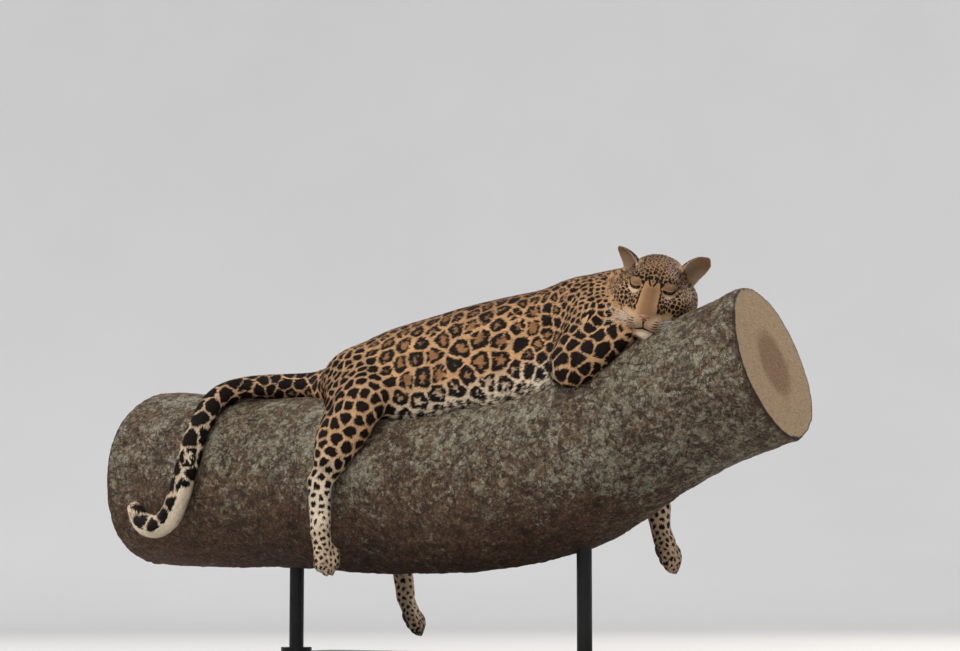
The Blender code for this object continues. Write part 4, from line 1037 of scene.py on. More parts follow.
def unwrap(points, node):
    """Each point's place on an unwrap of the skin: round and along its node's own axis."""
    u, v = np.zeros(len(points)), np.zeros(len(points))
    for index, name in enumerate(FLESH):
        chosen = node == index
        if not chosen.any():
            continue
        p = points[chosen]
        middle = p.mean(0)
        _, _, axes = np.linalg.svd(p[:: max(len(p) // 4000, 1)] - middle, full_matrices=False)
        local = (p - middle) @ axes.T
        along = (local[:, 0] - local[:, 0].min()) / np.ptp(local[:, 0])
        turn = np.arctan2(local[:, 1], local[:, 2]) / (2 * math.pi) + 0.5
        low_u, low_v, wide, high = TILES[name]
        u[chosen] = low_u + wide * along
        v[chosen] = low_v + high * turn
    return np.stack([u, v], 1)


def tuft_roots(skin, look, weights, flow, normals):
    """Roots strewn over the skin's triangles, with all that the skin knows at each."""
    mesh = skin.data
    faces = triangles_of(mesh)
    p = points_of(mesh)
    a, b, c = (p[faces[:, i]] for i in range(3))
    area = np.linalg.norm(np.cross(b - a, c - a), axis=1) / 2
    cover = 1 / (look["length"] * look["width"]) ** 0.80
    wanted = area * cover[faces].mean(1) * (1 - look["hidden"][faces].max(1))
    rng = np.random.default_rng(SEED + 2)
    count = rng.poisson(wanted / wanted.sum() * COAT_TUFTS)
    face = np.repeat(np.arange(len(faces)), count)
    r1, r2 = rng.random(len(face)), rng.random(len(face))
    over = r1 + r2 > 1
    r1[over], r2[over] = 1 - r1[over], 1 - r2[over]
    share = np.stack([1 - r1 - r2, r1, r2], 1)
    corner = faces[face]

    def blend(values):
        picked = values[corner]
        return (picked * (share if picked.ndim == 2 else share[:, :, None])).sum(1)

    root_look = {name: blend(values) for name, values in look.items()}
    node = weights.argmax(1)[corner[:, 0]]
    n = unit(blend(normals))
    f = blend(flow)
    f = unit(f - (f * n).sum(1)[:, None] * n)
    return blend(p), n, f, root_look, node, rng


def make_coat(skin, look, weights, flow, normals, cells, face):
    roots, n, f, look, node, rng = tuft_roots(skin, look, weights, flow, normals)
    count = len(roots)
    jitter = rng.normal(0, 0.45, count)
    # long tufts start behind their roots, so that none of the skin stays bare where the
    # lie of the coat parts; a tuft takes the marking that lies under its middle
    behind = 0.30 * ease(look["length"], 4.5, 6.5)
    under = roots + f * ((0.35 - behind) * MM * look["length"])[:, None]
    dark, middle, pale, back = marks_at(under, look, f, n, cells, face, jitter)
    place = unwrap(roots, node)
    yaw = rng.normal(0, 0.16, count) + 0.20 * ripple(roots, 0.035, SEED + 8)
    side = np.cross(n, f)
    way = f * np.cos(yaw)[:, None] + side * np.sin(yaw)[:, None]
    side = np.cross(n, way)
    length = look["length"] * MM * rng.uniform(0.72, 1.18, count)
    width = look["width"] * MM * rng.uniform(0.8, 1.2, count)
    top = np.minimum(look["depth"] * MM + 0.0012, 0.30 * length) * rng.uniform(0.45, 1.0, count)
    fringe = ease(look["length"], 12, 18)
    top = top * (1 + 0.9 * fringe)
    lean = rng.normal(0, 0.16, count)[:, None] * side * length[:, None]
    rise = np.stack([-0.0006 + 0 * top, 0.72 * top, top], 1)
    half = width[:, None] / 2 * side

    def at(share, height, across, sway):
        return (roots + way * (length * (share - behind))[:, None] + n * height[:, None]
                + half * across + lean * sway)

    points = np.stack([at(0.0, rise[:, 0], -0.8, 0), at(0.0, rise[:, 0], 0.8, 0),
                       at(0.45, rise[:, 1], -1.0, 0.2), at(0.45, rise[:, 1], 1.0, 0.2),
                       at(1.0, rise[:, 2], 0.0, 1.0)], 1)
    tilt = rng.normal(0, 0.22, (count, 1, 1)) * side[:, None, :]
    bend = np.array((0.10, 0.10, -0.05, -0.05, -0.18))[None, :, None] * way[:, None, :]
    shade = unit(n[:, None, :] - bend + tilt + 0 * points)
    marks = np.stack([np.repeat(dark, 5), np.tile((0.0, 0.0, 0.55, 0.55, 1.0), count),
                      np.repeat(rng.random(count), 5)], 1)
    tone = np.stack([np.repeat(v, 5) for v in (pale, back, middle)], 1)
    patch = np.array(((-1, -1), (1, -1), (-1, 0), (1, 0), (0, 1))) * 0.0015
    uvs = place[:, None, :] + patch[None]
    shape = np.array(((0, 3, 1), (0, 2, 3), (2, 4, 3)))
    pieces = []
    for name, starts in COAT_PIECES.items():
        nodes = [i for i, part in enumerate(FLESH) if part.startswith(starts)]
        chosen = np.flatnonzero(np.isin(node, nodes))
        parts = max(math.ceil(len(chosen) / TUFTS_A_PIECE), 1)
        chosen = chosen[np.argsort(roots[chosen, 0])]
        for number, group in enumerate(np.array_split(chosen, parts)):
            faces = (shape[None] + 5 * np.arange(len(group))[:, None, None]).reshape(-1, 3)
            rows = (group[:, None] * 5 + np.arange(5)).ravel()
            piece = bulk_object(f"{name}_{number + 1}", points[group].reshape(-1, 3), faces)
            mesh = piece.data
            put(mesh, "marks", marks[rows])
            put(mesh, "tone", tone[rows])
            layer = mesh.uv_layers.new(name="OFBake")
            corners = np.empty(len(mesh.loops), np.int32)
            mesh.loops.foreach_get("vertex_index", corners)
            flat = uvs[group].reshape(-1, 2)[corners]
            layer.data.foreach_set("uv", flat.astype(np.float32).ravel())
            mesh.polygons.foreach_set("use_smooth", np.ones(len(mesh.polygons), bool))
            mesh.normals_split_custom_set_from_vertices(shade[group].reshape(-1, 3))
            pieces.append(piece)
    return pieces


# whiskers, claws, pads, nose and eyes
def blade_tube(line, radii, sides=5):
    """A tapered tube along a line, closed to a point at its end."""
    line = np.asarray(line, float)
    count = len(line)
    ways = unit(np.gradient(line, axis=0))
    guide = np.array((0.0, 0.0, 1.0)) if abs(ways[0][2]) < 0.8 else np.array((1.0, 0.0, 0.0))
    points, faces = [], []
    for i in range(count):
        one = unit(np.cross(ways[i], guide))
        two = np.cross(ways[i], one)
        for turn in np.arange(sides) * 2 * math.pi / sides:
            points.append(line[i] + radii[i] * (one * math.cos(turn) + two * math.sin(turn)))
    for i in range(count - 1):
        for k in range(sides):
            a, b = i * sides + k, i * sides + (k + 1) % sides
            faces += [(a, b, b + sides), (a, b + sides, a + sides)]
    for base, turn in ((0, -1), ((count - 1) * sides, 1)):
        for k in range(1, sides - 1):
            faces.append((base, base + k, base + k + 1)[::turn])
    return np.array(points), np.array(faces)


def make_whiskers(face):
    rng = np.random.default_rng(SEED + 3)
    parts = []
    for sign in (1, -1):
        for row in range(4):
            for step in range(5):
                turn = math.radians(30 + 9 * step + rng.uniform(-2, 2)) * sign
                height = -0.0290 - 0.0048 * row - 0.0006 * step
                root = face.point((LIP_CENTRE_X, 0, height), (math.cos(turn), math.sin(turn), 0))
                length = (0.030 + 0.009 * step) * rng.uniform(0.8, 1.15)
                out = unit((0.25 - 0.12 * step, sign * 1.0, 0.12 - 0.10 * row))
                bow = np.array((-0.42, 0, -0.16 - 0.05 * row))
                t = np.linspace(-0.06, 1, 9)[:, None]
                line = root + out * length * t + bow * length * np.maximum(t, 0) ** 2
                parts.append(blade_tube(from_head(line), 0.00022 * (1 - 0.85 * t[:, 0]), 4))
        for step in range(4):
            root = face.point((0.03, 0.028 * sign, 0.020), (0.45, 0.1 * sign, 1))
            root = root + np.array((0.0, 0.004 * (step - 1.5), 0))
            length = 0.028 + 0.004 * step
            out = unit((0.55, sign * (0.15 + 0.2 * step), 0.9))
            t = np.linspace(-0.1, 1, 7)[:, None]
            line = root + out * length * t + np.array((-0.6, 0, 0)) * length * np.maximum(t, 0) ** 2
            parts.append(blade_tube(from_head(line), 0.00017 * (1 - 0.85 * t[:, 0]), 4))
    return bulk_object("whiskers", *stack(parts))


def make_claws():
    parts = []
    for leg in PAWS:
        paw = Paw(leg)
        for aside, ahead in paw.TOES:
            line = np.array([(ahead + 0.014, aside * 1.05, 0.002), (ahead + 0.021, aside * 1.05, 0.0015),
                             (ahead + 0.026, aside * 1.05, -0.0020), (ahead + 0.0285, aside * 1.05, -0.0065)])
            line = paw.wrist + paw.size * line @ paw.axes
            parts.append(blade_tube(line, np.array((0.0022, 0.0019, 0.0012, 0.0002)), 8))
    return bulk_object("claws", *stack(parts))


def make_pads():
    parts = []
    for leg in PAWS:
        parts += Paw(leg).pads()
    piece = bulk_object("paw_pads", *stack(parts))
    piece.data.polygons.foreach_set("use_smooth", np.ones(len(piece.data.polygons), bool))
    return piece


def make_nose():
    """The leather: a rounded wedge, wide above, with comma nostrils and a middle groove."""
    unit_ball, faces = ball_parts((0, 0, 0), (1, 1, 1), np.eye(3), 6)
    p = unit_ball.copy()
    p[:, 1] *= 1.0 + 0.20 * p[:, 2]
    p *= (0.0090, 0.0116, 0.0088)
    p[:, 0] -= 0.10 * np.maximum(-p[:, 2], 0)
    hole = np.zeros(len(p))
    for sign in (1, -1):
        bowl = np.exp(-(((p[:, 1] - 0.0062 * sign) / 0.0023) ** 2
                        + ((p[:, 2] + 0.0012) / 0.0021) ** 2))
        wing = np.exp(-(((p[:, 1] - 0.0098 * sign) / 0.0030) ** 2
                        + ((p[:, 2] + 0.0022) / 0.0010) ** 2))
        hole = np.maximum(hole, np.maximum(bowl, 0.65 * wing) * (p[:, 0] > 0))
    groove = np.exp(-(p[:, 1] / 0.0007) ** 2) * (p[:, 2] < 0.002) * (p[:, 0] > 0)
    p -= unit_ball * (0.0038 * hole + 0.0008 * groove)[:, None]
    piece = bulk_object("nose_leather", from_head(NOSE_AT - (0.0006, 0, 0) + p), faces)
    # the nostrils and the middle groove are marked here to be darkened: painted shade in their dents
    put(piece.data, "hollow", np.clip(hole + 0.4 * groove, 0, 1), "FLOAT")
    piece.data.polygons.foreach_set("use_smooth", np.ones(len(faces), bool))
    return piece


def make_eye(name, sign):
    ball, faces = ball_parts((0, 0, 0), (1, 1, 1), np.eye(3), 5)
    gaze = unit((0.93, 0.36 * sign, -0.18))
    turn = np.degrees(np.arccos(np.clip(ball @ gaze, -1, 1)))
    bulge = 1 + 0.035 * (1 - ease(turn, 20, 46))
    points = from_head(EYE_PLACE * (1, sign, 1) + ball * bulge[:, None] * EYE_RADIUS * 0.985)
    piece = bulk_object(name, points, faces)
    put(piece.data, "turn", turn, "FLOAT")
    piece.data.polygons.foreach_set("use_smooth", np.ones(len(faces), bool))
    return piece


# the branch
BRANCH_LUMPS = 0.006
BARK_RINGS, BARK_SIDES = 330, 210
ROD_TOPS = ((-0.47, 0, 0.21), (0.25, 0, 0.25))


def branch_point(x, z, radius, slope, angle):
    swell = (np.sin(9.0 * x + 2 * angle) + 0.7 * np.sin(17.0 * x - 3 * angle + 1.3)
             + 0.6 * np.sin(5.0 * angle + 6.0 * x)) / 2.3
    out = radius + BRANCH_LUMPS * swell
    up = out * np.sin(angle)
    return np.stack([x - up * np.sin(slope), out * np.cos(angle), z + up * np.cos(slope)], -1)


def make_bark(tree):
    rows = smooth_run(BRANCH_RUN, 10)
    steps = np.r_[0, np.cumsum(np.linalg.norm(np.diff(rows[:, :2], axis=0), axis=1))]
    even = np.linspace(0, steps[-1], BARK_RINGS)
    x, z, radius = (np.interp(even, steps, rows[:, i])[:, None] for i in range(3))
    slope = np.arctan2(np.gradient(z[:, 0]), np.gradient(x[:, 0]))[:, None]
    angle = (np.arange(BARK_SIDES) * 2 * math.pi / BARK_SIDES)[None, :]
    angle = np.repeat(angle, BARK_RINGS, 0)
    full = np.ones_like(angle)
    p = branch_point(x * full, z * full, radius * full, slope * full, angle).reshape(-1, 3)
    middle = np.stack([x * full, 0 * full, z * full], -1).reshape(-1, 3)
    outward = unit(p - middle)
    deep = np.zeros(len(p))
    for i, point in enumerate(p.tolist()):
        v = Vector(point)
        v.x *= 0.62
        v += 0.012 * noise.noise_vector(v * 30)
        near, _ = noise.voronoi(v * 62)
        crack = min(max((near[1] - near[0]) / 0.16, 0), 1)
        rough = noise.fractal(v * 40, 0.8, 2.2, 5)
        slow = noise.noise(Vector(point) * 7)
        deep[i] = (0.0013 * (1 - crack) * min(max(0.9 + 1.5 * slow, 0), 1.5)
                   + 0.0020 * (0.6 - rough) + 0.0012 * (1 - slow))
    close = np.array([tree.find_nearest(q)[3] for q in p.tolist()])
    calm = ease(close, 0.018, 0.065)
    for top in ROD_TOPS:
        calm = np.minimum(calm, ease(np.linalg.norm(p - top, axis=1), 0.030, 0.055))
    deep = np.clip(deep, 0, 0.008) * (0.10 + 0.90 * calm)
    deep -= 0.0015 * (1 - ease(close, 0.004, 0.030))
    cap = ease(np.abs(np.repeat(even, BARK_SIDES) - steps[-1] / 2), steps[-1] / 2 - 0.012,
               steps[-1] / 2)
    deep += 0.004 * cap**2
    p -= outward * deep[:, None]
    index = np.arange(BARK_RINGS * BARK_SIDES).reshape(BARK_RINGS, BARK_SIDES)
    after = np.roll(index, -1, 1)
    faces = np.stack([index[:-1], after[:-1], after[1:], index[1:]], -1).reshape(-1, 4)
    faces = faces[:, ::-1]
    wood = np.zeros(len(p))
    # the sawn ends: rings of points from the rim to the heart
    points, extra = [p], []
    base = len(p)
    for ring, turn in ((index[0], 1), (index[-1], -1)):
        heart = p[ring].mean(0)
        before = ring
        for share in np.linspace(0.97, 0.03, 26):
            fresh = heart + (p[ring] - heart) * share
            fresh = fresh + 0.0004 * np.sin(share * 160)
            points.append(fresh)
            made = base + np.arange(BARK_SIDES)
            base += BARK_SIDES
            quad = np.stack([before, np.roll(before, -1), np.roll(made, -1), made], -1)
            extra.append(quad[:, ::turn])
            before = made
    points = np.vstack(points)
    wood = np.r_[wood, np.ones(len(points) - len(p))]
    piece = bulk_object("bark", points, np.vstack([faces] + extra))
    # the little hole left at each heart is closed by one face
    shape = bmesh.new()
    shape.from_mesh(piece.data)
    bmesh.ops.holes_fill(shape, edges=[e for e in shape.edges if e.is_boundary], sides=0)
    bmesh.ops.recalc_face_normals(shape, faces=shape.faces)
    shape.to_mesh(piece.data)
    shape.free()
    put(piece.data, "sawn", wood, "FLOAT")
    put(piece.data, "deep", np.r_[deep, np.zeros(len(points) - len(p))] * 1000, "FLOAT")
    piece.data.polygons.foreach_set("use_smooth", np.ones(len(piece.data.polygons), bool))
    return piece


# materials
class Paint:
    """A material and its nodes, each made by one short call."""

    def __init__(self, name, roughness=0.5, specular=0.5, metallic=0.0):
        self.material = bpy.data.materials.new(name)
        self.material.use_nodes = True
        self.tree = self.material.node_tree
        self.shader = self.tree.nodes["Principled BSDF"]
        self.shader.inputs["Roughness"].default_value = roughness
        self.shader.inputs["Specular IOR Level"].default_value = specular
        self.shader.inputs["Metallic"].default_value = metallic

    def node(self, kind, out, inputs=(), **settings):
        made = self.tree.nodes.new(kind)
        for key, value in settings.items():
            setattr(made, key, value)
        for key, value in dict(inputs).items():
            if isinstance(value, bpy.types.NodeSocket):
                self.tree.links.new(value, made.inputs[key])
            else:
                made.inputs[key].default_value = value
        return made.outputs[out]

    def attribute(self, name, out="Fac"):
        return self.node("ShaderNodeAttribute", out, attribute_name=name)

    def split(self, vector):
        made = self.tree.nodes.new("ShaderNodeSeparateXYZ")
        self.tree.links.new(vector, made.inputs[0])
        return made.outputs

    def place(self):
        return self.node("ShaderNodeTexCoord", "Object")

    def noise(self, scale, detail=3.0, rough=0.55, source=None, stretch=None):
        source = source or self.place()
        if stretch:
            source = self.node("ShaderNodeMapping", "Vector", {"Vector": source, "Scale": stretch})
        return self.node("ShaderNodeTexNoise", "Fac", {
            "Vector": source, "Scale": scale, "Detail": detail, "Roughness": rough})

    def math(self, kind, a, b=0.0):
        return self.node("ShaderNodeMath", 0, {0: a, 1: b}, operation=kind)

    def step(self, value, low, high, to_low=0.0, to_high=1.0):
        return self.node("ShaderNodeMapRange", 0, {
            "Value": value, "From Min": low, "From Max": high, "To Min": to_low,
            "To Max": to_high}, interpolation_type="SMOOTHSTEP")

    def mix(self, share, a, b):
        made = self.tree.nodes.new("ShaderNodeMix")
        made.data_type = "RGBA"
        for socket, value in zip((made.inputs[0], made.inputs[6], made.inputs[7]), (share, a, b)):
            if isinstance(value, bpy.types.NodeSocket):
                self.tree.links.new(value, socket)
            else:
                socket.default_value = value if isinstance(value, float) else (*value, 1)
        return made.outputs[2]

    def times(self, colour, factor):
        grey = self.node("ShaderNodeCombineXYZ", 0, {0: factor, 1: factor, 2: factor})
        made = self.tree.nodes.new("ShaderNodeMix")
        made.data_type, made.blend_type = "RGBA", "MULTIPLY"
        made.inputs[0].default_value = 1.0
        self.tree.links.new(colour, made.inputs[6])
        self.tree.links.new(grey, made.inputs[7])
        return made.outputs[2]

    def finish(self, colour, bump=None, strength=0.5, distance=0.001, roughness=None):
        if isinstance(colour, bpy.types.NodeSocket):
            self.tree.links.new(colour, self.shader.inputs["Base Color"])
        else:
            self.shader.inputs["Base Color"].default_value = (*colour, 1)
        if bump is not None:
            normal = self.node("ShaderNodeBump", 0, {
                "Height": bump, "Strength": strength, "Distance": distance})
            self.tree.links.new(normal, self.shader.inputs["Normal"])
        if roughness is not None:
            self.tree.links.new(roughness, self.shader.inputs["Roughness"])
        return self.material


BACK, FLANK, PALE = (0.290, 0.150, 0.066), (0.540, 0.310, 0.150), (0.800, 0.680, 0.520)
# the middle colour of these three is the darker brown of the back's rosette middles and of the face, on the
# face partly painted shade
MIDDLE, DARK_BROWN_AND_SHADE, BLACK = (0.290, 0.140, 0.056), (0.185, 0.083, 0.032), (0.009, 0.0055, 0.004)


def fur_colour(paint):
    """The coat's colour, the same for the skin and for the tufts."""
    dark, tip, random = paint.split(paint.attribute("marks", "Vector"))
    pale, back, middle = paint.split(paint.attribute("tone", "Vector"))
    colour = paint.mix(back, FLANK, BACK)
    # rosette middles take the darker brown; so do the face, partly as painted shade, and the ears' hollows,
    # as painted shade
    colour = paint.mix(middle, colour, paint.mix(back, MIDDLE, DARK_BROWN_AND_SHADE))
    colour = paint.mix(pale, colour, PALE)
    patchy = paint.step(paint.noise(26, 3), 0.3, 0.7, 0.88, 1.10)
    light = paint.math("MULTIPLY", patchy, paint.math("ADD", paint.math("MULTIPLY", random, 0.26), 0.80))
    light = paint.math("MULTIPLY", light, paint.math("ADD", paint.math("MULTIPLY", tip, 0.34), 0.84))
    colour = paint.times(colour, light)
    wobble = paint.math("MULTIPLY", paint.math("SUBTRACT", paint.noise(330, 2), 0.5), 0.35)
    dark = paint.step(paint.math("ADD", dark, wobble), 0.30, 0.70)
    return paint.mix(dark, colour, BLACK)


def skin_paint():
    paint = Paint("skin_paint", 0.80, 0.10)
    grain = paint.noise(900, 4, 0.7)
    strand = paint.noise(420, 3, 0.6, stretch=(0.35, 1.0, 1.0))
    return paint.finish(fur_colour(paint), paint.math("ADD", grain, strand), 0.55, 0.0012)


def coat_paint():
    paint = Paint("coat_paint", 0.66, 0.12)
    return paint.finish(fur_colour(paint))


def whisker_paint():
    paint = Paint("whisker_paint", 0.35, 0.5)
    return paint.finish(paint.mix(paint.noise(60), (0.80, 0.76, 0.68), (0.88, 0.86, 0.82)))


def nose_paint():
    paint = Paint("nose_paint", 0.42, 0.5)
    cell = paint.node("ShaderNodeTexVoronoi", "Distance", {
        "Vector": paint.place(), "Scale": 900.0}, feature="F1")
    fleck = paint.step(paint.noise(190, 3), 0.52, 0.62)
    colour = paint.mix(fleck, (0.270, 0.105, 0.060), (0.130, 0.052, 0.032))
    # painted shade: the nostrils and the groove are darkened nearly to black
    colour = paint.mix(paint.attribute("hollow"), colour, (0.012, 0.006, 0.005))
    return paint.finish(colour, cell, 0.45, 0.0006)


def eye_paint():
    paint = Paint("eye_paint", 0.06, 0.6)
    paint.shader.inputs["Coat Weight"].default_value = 0.6
    paint.shader.inputs["Coat Roughness"].default_value = 0.03
    turn = paint.attribute("turn")
    fleck = paint.math("MULTIPLY", paint.noise(700, 4, 0.65), 8.0)
    ring = paint.math("ADD", turn, fleck)
    # the iris's own amber is darkened to brown: partly its colour and partly painted shade inside the narrow
    # slit of the closed eye
    iris = paint.mix(paint.step(ring, 22, 40), (0.17, 0.105, 0.036), (0.080, 0.055, 0.020))
    iris = paint.mix(paint.step(turn, 40, 45), iris, (0.030, 0.018, 0.010))
    iris = paint.mix(paint.step(turn, 46, 60), iris, (0.20, 0.13, 0.09))
    colour = paint.mix(paint.step(turn, 12.5, 14), (0.004, 0.004, 0.004), iris)
    return paint.finish(colour)


def claw_paint():
    paint = Paint("claw_paint", 0.38, 0.5)
    streak = paint.noise(500, 3, stretch=(1, 1, 0.2))
    return paint.finish(paint.mix(streak, (0.42, 0.34, 0.24), (0.16, 0.11, 0.07)), streak, 0.2,
                        0.0003)


def pad_paint():
    paint = Paint("pad_paint", 0.62, 0.35)
    cell = paint.node("ShaderNodeTexVoronoi", "Distance", {
        "Vector": paint.place(), "Scale": 620.0}, feature="F1")
    colour = paint.mix(paint.noise(120), (0.050, 0.030, 0.024), (0.125, 0.070, 0.055))
    return paint.finish(colour, cell, 0.6, 0.0006)


def bark_paint():
    paint = Paint("bark_paint", 0.88, 0.25)
    place = paint.place()
    x, y, z = paint.split(place)
    high = paint.math("ADD", z, paint.math("MULTIPLY", paint.noise(7, 5, 0.6), 0.22))
    low = paint.step(high, 0.36, 0.56, 1.0, 0.0)
    grain = paint.noise(75, 9, 0.78)
    brown = paint.mix(paint.step(grain, 0.40, 0.62), (0.060, 0.036, 0.021),
                      (0.205, 0.142, 0.088))
    brown = paint.mix(paint.math("MULTIPLY", low, 0.55), brown, (0.115, 0.050, 0.028))
    ends = paint.step(paint.math("ABSOLUTE", paint.math("SUBTRACT", x, 0.08)), 0.25, 0.70)
    flake = paint.node("ShaderNodeTexVoronoi", "Color", {"Vector": place, "Scale": 95.0})
    flake, _, _ = paint.split(flake)
    patch = paint.math("ADD", paint.noise(62, 8, 0.78), paint.math("MULTIPLY", low, -0.13))
    patch = paint.math("SUBTRACT", patch, paint.math("MULTIPLY", ends, 0.03))
    slow = paint.math("SUBTRACT", paint.noise(9, 4, 0.6), 0.5)
    patch = paint.math("ADD", patch, paint.math("MULTIPLY", slow, 0.42))
    patch = paint.math("ADD", patch, paint.math("MULTIPLY", flake, 0.10))
    patch = paint.math("ADD", patch, paint.math("MULTIPLY", paint.noise(150, 6, 0.75), 0.26))
    lichen = paint.mix(paint.noise(210, 5, 0.7), (0.165, 0.148, 0.103), (0.360, 0.325, 0.245))
    colour = paint.mix(paint.step(patch, 0.600, 0.760), brown, lichen)
    fine = paint.step(paint.noise(190, 6, 0.78), 0.34, 0.68, 0.52, 1.40)
    fine = paint.math("MULTIPLY", fine, paint.math("ADD", paint.math("MULTIPLY", flake, 0.4), 0.8))
    colour = paint.times(colour, fine)
    pit = paint.step(paint.noise(120, 6, 0.7), 0.58, 0.66, 0.0, 0.75)
    colour = paint.mix(pit, colour, (0.035, 0.023, 0.016))
    # painted shade: the bark is darkened where it is carved deepest
    crack = paint.step(paint.attribute("deep"), 2.6, 5.6, 0.0, 0.85)
    colour = paint.mix(crack, colour, (0.030, 0.020, 0.014))
    # nets of thin cracks, bent and broken by noise
    for scale, seam in ((40.0, 0.050), (92.0, 0.070)):
        bent = paint.node("ShaderNodeTexNoise", "Color", {
            "Vector": place, "Scale": scale * 0.7, "Detail": 3.0})
        bent = paint.node("ShaderNodeVectorMath", 0, {0: bent, 1: (0.55 / scale,) * 3},
                          operation="MULTIPLY")
        bent = paint.node("ShaderNodeVectorMath", 0, {0: place, 1: bent}, operation="ADD")
        net = paint.node("ShaderNodeTexVoronoi", "Distance", {"Vector": bent, "Scale": scale},
                         feature="DISTANCE_TO_EDGE")
        broken = paint.step(paint.noise(scale * 0.5, 3, 0.6), 0.44, 0.60, 0.0, 0.80)
        crack = paint.math("MULTIPLY", paint.step(net, 0.4 * seam, seam, 1.0, 0.0), broken)
        colour = paint.mix(crack, colour, (0.028, 0.018, 0.012))
    # the sawn ends: rings about the branch's heart
    far = paint.math("SQRT", paint.math("ADD", paint.math("POWER", y, 2.0), paint.math(
        "POWER", paint.math("SUBTRACT", z, paint.step(x, -0.2, 0.2, 0.417, 0.618)), 2.0)))
    far = paint.math("ADD", far, paint.math("MULTIPLY", paint.noise(14, 5, 0.7), 0.024))
    ring = paint.step(paint.math("SINE", paint.math("MULTIPLY", far, 1750.0)), -0.7, 1.0, 0.25, 0.62)
    wood = paint.mix(ring, (0.40, 0.285, 0.170), (0.27, 0.175, 0.098))
    wood = paint.mix(paint.step(far, 0.060, 0.095), (0.215, 0.125, 0.066), wood)
    saw = paint.noise(60, 5, 0.7, stretch=(1.0, 1.0, 7.0))
    wood = paint.times(wood, paint.step(saw, 0.3, 0.7, 0.80, 1.15))
    colour = paint.mix(paint.attribute("sawn"), colour, wood)
    bump = paint.math("ADD", grain, paint.math("MULTIPLY", patch, 1.2))
    bump = paint.math("SUBTRACT", bump, paint.math("MULTIPLY", pit, 0.5))
    return paint.finish(colour, bump, 1.0, 0.006)


def stand_paint():
    paint = Paint("stand_paint", 0.42, 0.5, 0.85)
    grain = paint.noise(1400, 2)
    worn = paint.step(paint.noise(7, 5, 0.6), 0.35, 0.75)
    colour = paint.mix(worn, (0.020, 0.020, 0.021), (0.034, 0.033, 0.032))
    rough = paint.step(paint.noise(11, 4), 0.3, 0.7, 0.36, 0.52)
    return paint.finish(colour, grain, 0.12, 0.0004, rough)


def floor_paint():
    paint = Paint("floor_paint", 0.85, 0.2)
    x, y, _ = paint.split(paint.place())
    far = paint.math("SQRT", paint.math("ADD", paint.math("POWER", x, 2.0),
                                        paint.math("POWER", y, 2.0)))
    # painted light: paler out on the rising walls than on the floor's lamp-lit middle
    pale = paint.mix(paint.step(far, 3.5, 6.5), (0.60, 0.595, 0.585), (0.80, 0.795, 0.785))
    return paint.finish(paint.times(pale, paint.step(paint.noise(1.5, 2), 0, 1, 0.98, 1.02)))


def dress(piece, paint):
    piece.data.materials.clear()
    piece.data.materials.append(paint)


# the studio
def make_studio():
    scene = bpy.context.scene
    camera = bpy.data.cameras.new("camera")
    camera.lens, camera.sensor_width, camera.clip_end = 90.7, 36, 60
    thing = bpy.data.objects.new("camera", camera)
    scene.collection.objects.link(thing)
    thing.location = (2.5858, -4.4787, 0.1864)
    aim = Vector((0, 0, 0.73)) - thing.location
    thing.rotation_euler = aim.to_track_quat("-Z", "Y").to_euler()
    scene.camera = thing
    scene.view_settings.view_transform = "Standard"
    world = bpy.data.worlds.new("world")
    scene.world = world
    world.use_nodes = True
    sky = world.node_tree.nodes["Background"]
    sky.inputs[0].default_value, sky.inputs[1].default_value = (0.95, 0.96, 1.0, 1), 0.75
    lamps = (
        # place, aim, size, watts, colour
        ((0.4, -2.6, 3.4), (0, 0, 0.6), 2.2, 105, (1.0, 0.95, 0.88)),
        ((-3.2, -1.2, 2.2), (0, 0, 0.6), 2.4, 50, (0.92, 0.96, 1.0)),
        ((1.6, 2.8, 2.8), (0.2, 0, 0.7), 1.8, 95, (1.0, 0.94, 0.86)),
    )
    for number, (place, aim, size, watts, colour) in enumerate(lamps):
        light = bpy.data.lights.new(f"lamp_{number}", "AREA")
        light.shape, light.size, light.energy, light.color = "DISK", size, watts, colour
        lamp = bpy.data.objects.new(light.name, light)
        scene.collection.objects.link(lamp)
        lamp.location = place
        lamp.rotation_euler = (Vector(aim) - lamp.location).to_track_quat("-Z", "Y").to_euler()
    # a pale floor that rises all round in a wide bowl
    profile = [(0.0, 0.0), (2.4, 0.0), (4.8, 0.0)]
    profile += [(4.8 + 4.0 * math.sin(t), 4.0 - 4.0 * math.cos(t))
                for t in np.linspace(0.1, 1.5, 16)]
    sides = 64
    points, faces = [], []
    for out, up in profile:
        for k in range(sides):
            turn = 2 * math.pi * k / sides
            points.append((out * math.cos(turn), out * math.sin(turn), up - 0.0002))
    for i in range(len(profile) - 1):
        for k in range(sides):
            a, b = i * sides + k, i * sides + (k + 1) % sides
            faces.append((a, b, b + sides, a + sides))
    floor = bulk_object("floor", points, faces)
    floor.data.polygons.foreach_set("use_smooth", np.ones(len(faces), bool))
    dress(floor, floor_paint())


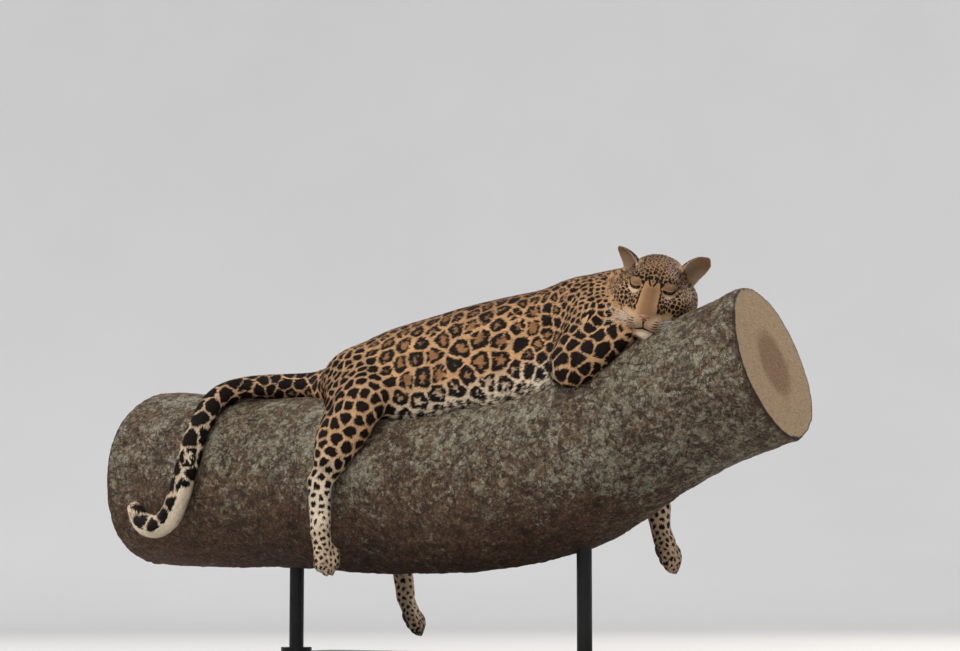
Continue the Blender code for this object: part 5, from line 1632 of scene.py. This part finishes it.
def main():
    make_studio()
    skin, tree, owner = make_skin()
    face = Face(skin)
    shape_face(skin, face)
    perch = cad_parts["perch"].data
    perch_tree = BVHTree.FromPolygons(points_of(perch).tolist(), triangles_of(perch).tolist())
    rest_on(skin, perch_tree)
    mesh = skin.data
    edges, points = edges_of(mesh), points_of(mesh)
    weights = node_weights(points, tree, owner, edges)
    legs = leg_places(points)
    normals = unit(spread(normals_of(mesh), edges, 3))
    look = look_of_skin(points, normals, weights, legs)
    look["inner"] = ear_inner(points, normals)
    look["head"] = weight_of(weights, "head")
    head_look(points, weights, look)
    flow = flow_of(points, normals, weights, edges, legs)
    to_perch = np.array([perch_tree.find_nearest(p)[3] for p in points.tolist()])
    local = to_head(points)
    contact = 1 - ease(to_perch, 0.0008, 0.0060)
    look["hidden"] = 1 - ease(to_perch, 0.0002, 0.0008)
    lips, split = face.lips, face.split
    look["hidden"] = np.maximum(look["hidden"], along_line(local, lips)[0] < 0.0021)
    look["hidden"] = np.maximum(look["hidden"], along_line(local, split)[0] < 0.0010)
    look["hidden"] = np.maximum(look["hidden"], np.linalg.norm(local - NOSE_AT, axis=1) < 0.0120)
    for sign in (1, -1):
        eye = in_eye(local, sign)
        off, tall = slit_place(eye)
        inside = np.maximum(np.abs(off) - tall, np.abs(eye[:, 1]) - SLIT_HALF_WIDTH)
        look["hidden"] = np.maximum(look["hidden"], (inside < 0.0010) & before_eye(eye))
    cells = Cells(points, look, flow, normals)
    dark, middle, pale, back = marks_at(points, look, flow, normals, cells, face)
    put(mesh, "marks", np.stack([dark, 0.3 + 0 * dark, 0.5 + 0 * dark], 1))
    put(mesh, "tone", np.stack([pale, back, middle], 1))
    inset = spread(look["depth"] * MM * (1 - contact), edges, 4)
    set_points(mesh, points - inset[:, None] * normals)
    mesh.polygons.foreach_set("use_smooth", np.ones(len(mesh.polygons), bool))
    coat = make_coat(skin, look, weights, flow, normals, cells, face)
    pieces = [(skin, "coat", skin_paint())]
    fur = coat_paint()
    pieces += [(piece, "coat", fur) for piece in coat]
    nose, pads, claws, whiskers = make_nose(), make_pads(), make_claws(), make_whiskers(face)
    eyes = {name: make_eye(name + "_ball", sign)
            for name, sign in (("eye_left", 1), ("eye_right", -1))}
    bark = make_bark(tree)
    pieces += [(nose, "nose", nose_paint()), (pads, "nose", pad_paint()),
               (claws, "nose", claw_paint()), (whiskers, "coat", whisker_paint()),
               (bark, "bark", bark_paint())]
    shine = eye_paint()
    pieces += [(eye, "eye", shine) for eye in eyes.values()]
    for piece, slot, paint in pieces:
        dress(piece, paint)
        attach(piece, ROOT)
    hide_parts(*FLESH)
    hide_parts("nose")
    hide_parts("perch")
    for name, eye in eyes.items():
        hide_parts(name)
    steel = stand_paint()
    for name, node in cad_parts.items():
        if name.startswith("stand_"):
            dress(node, steel)


main()
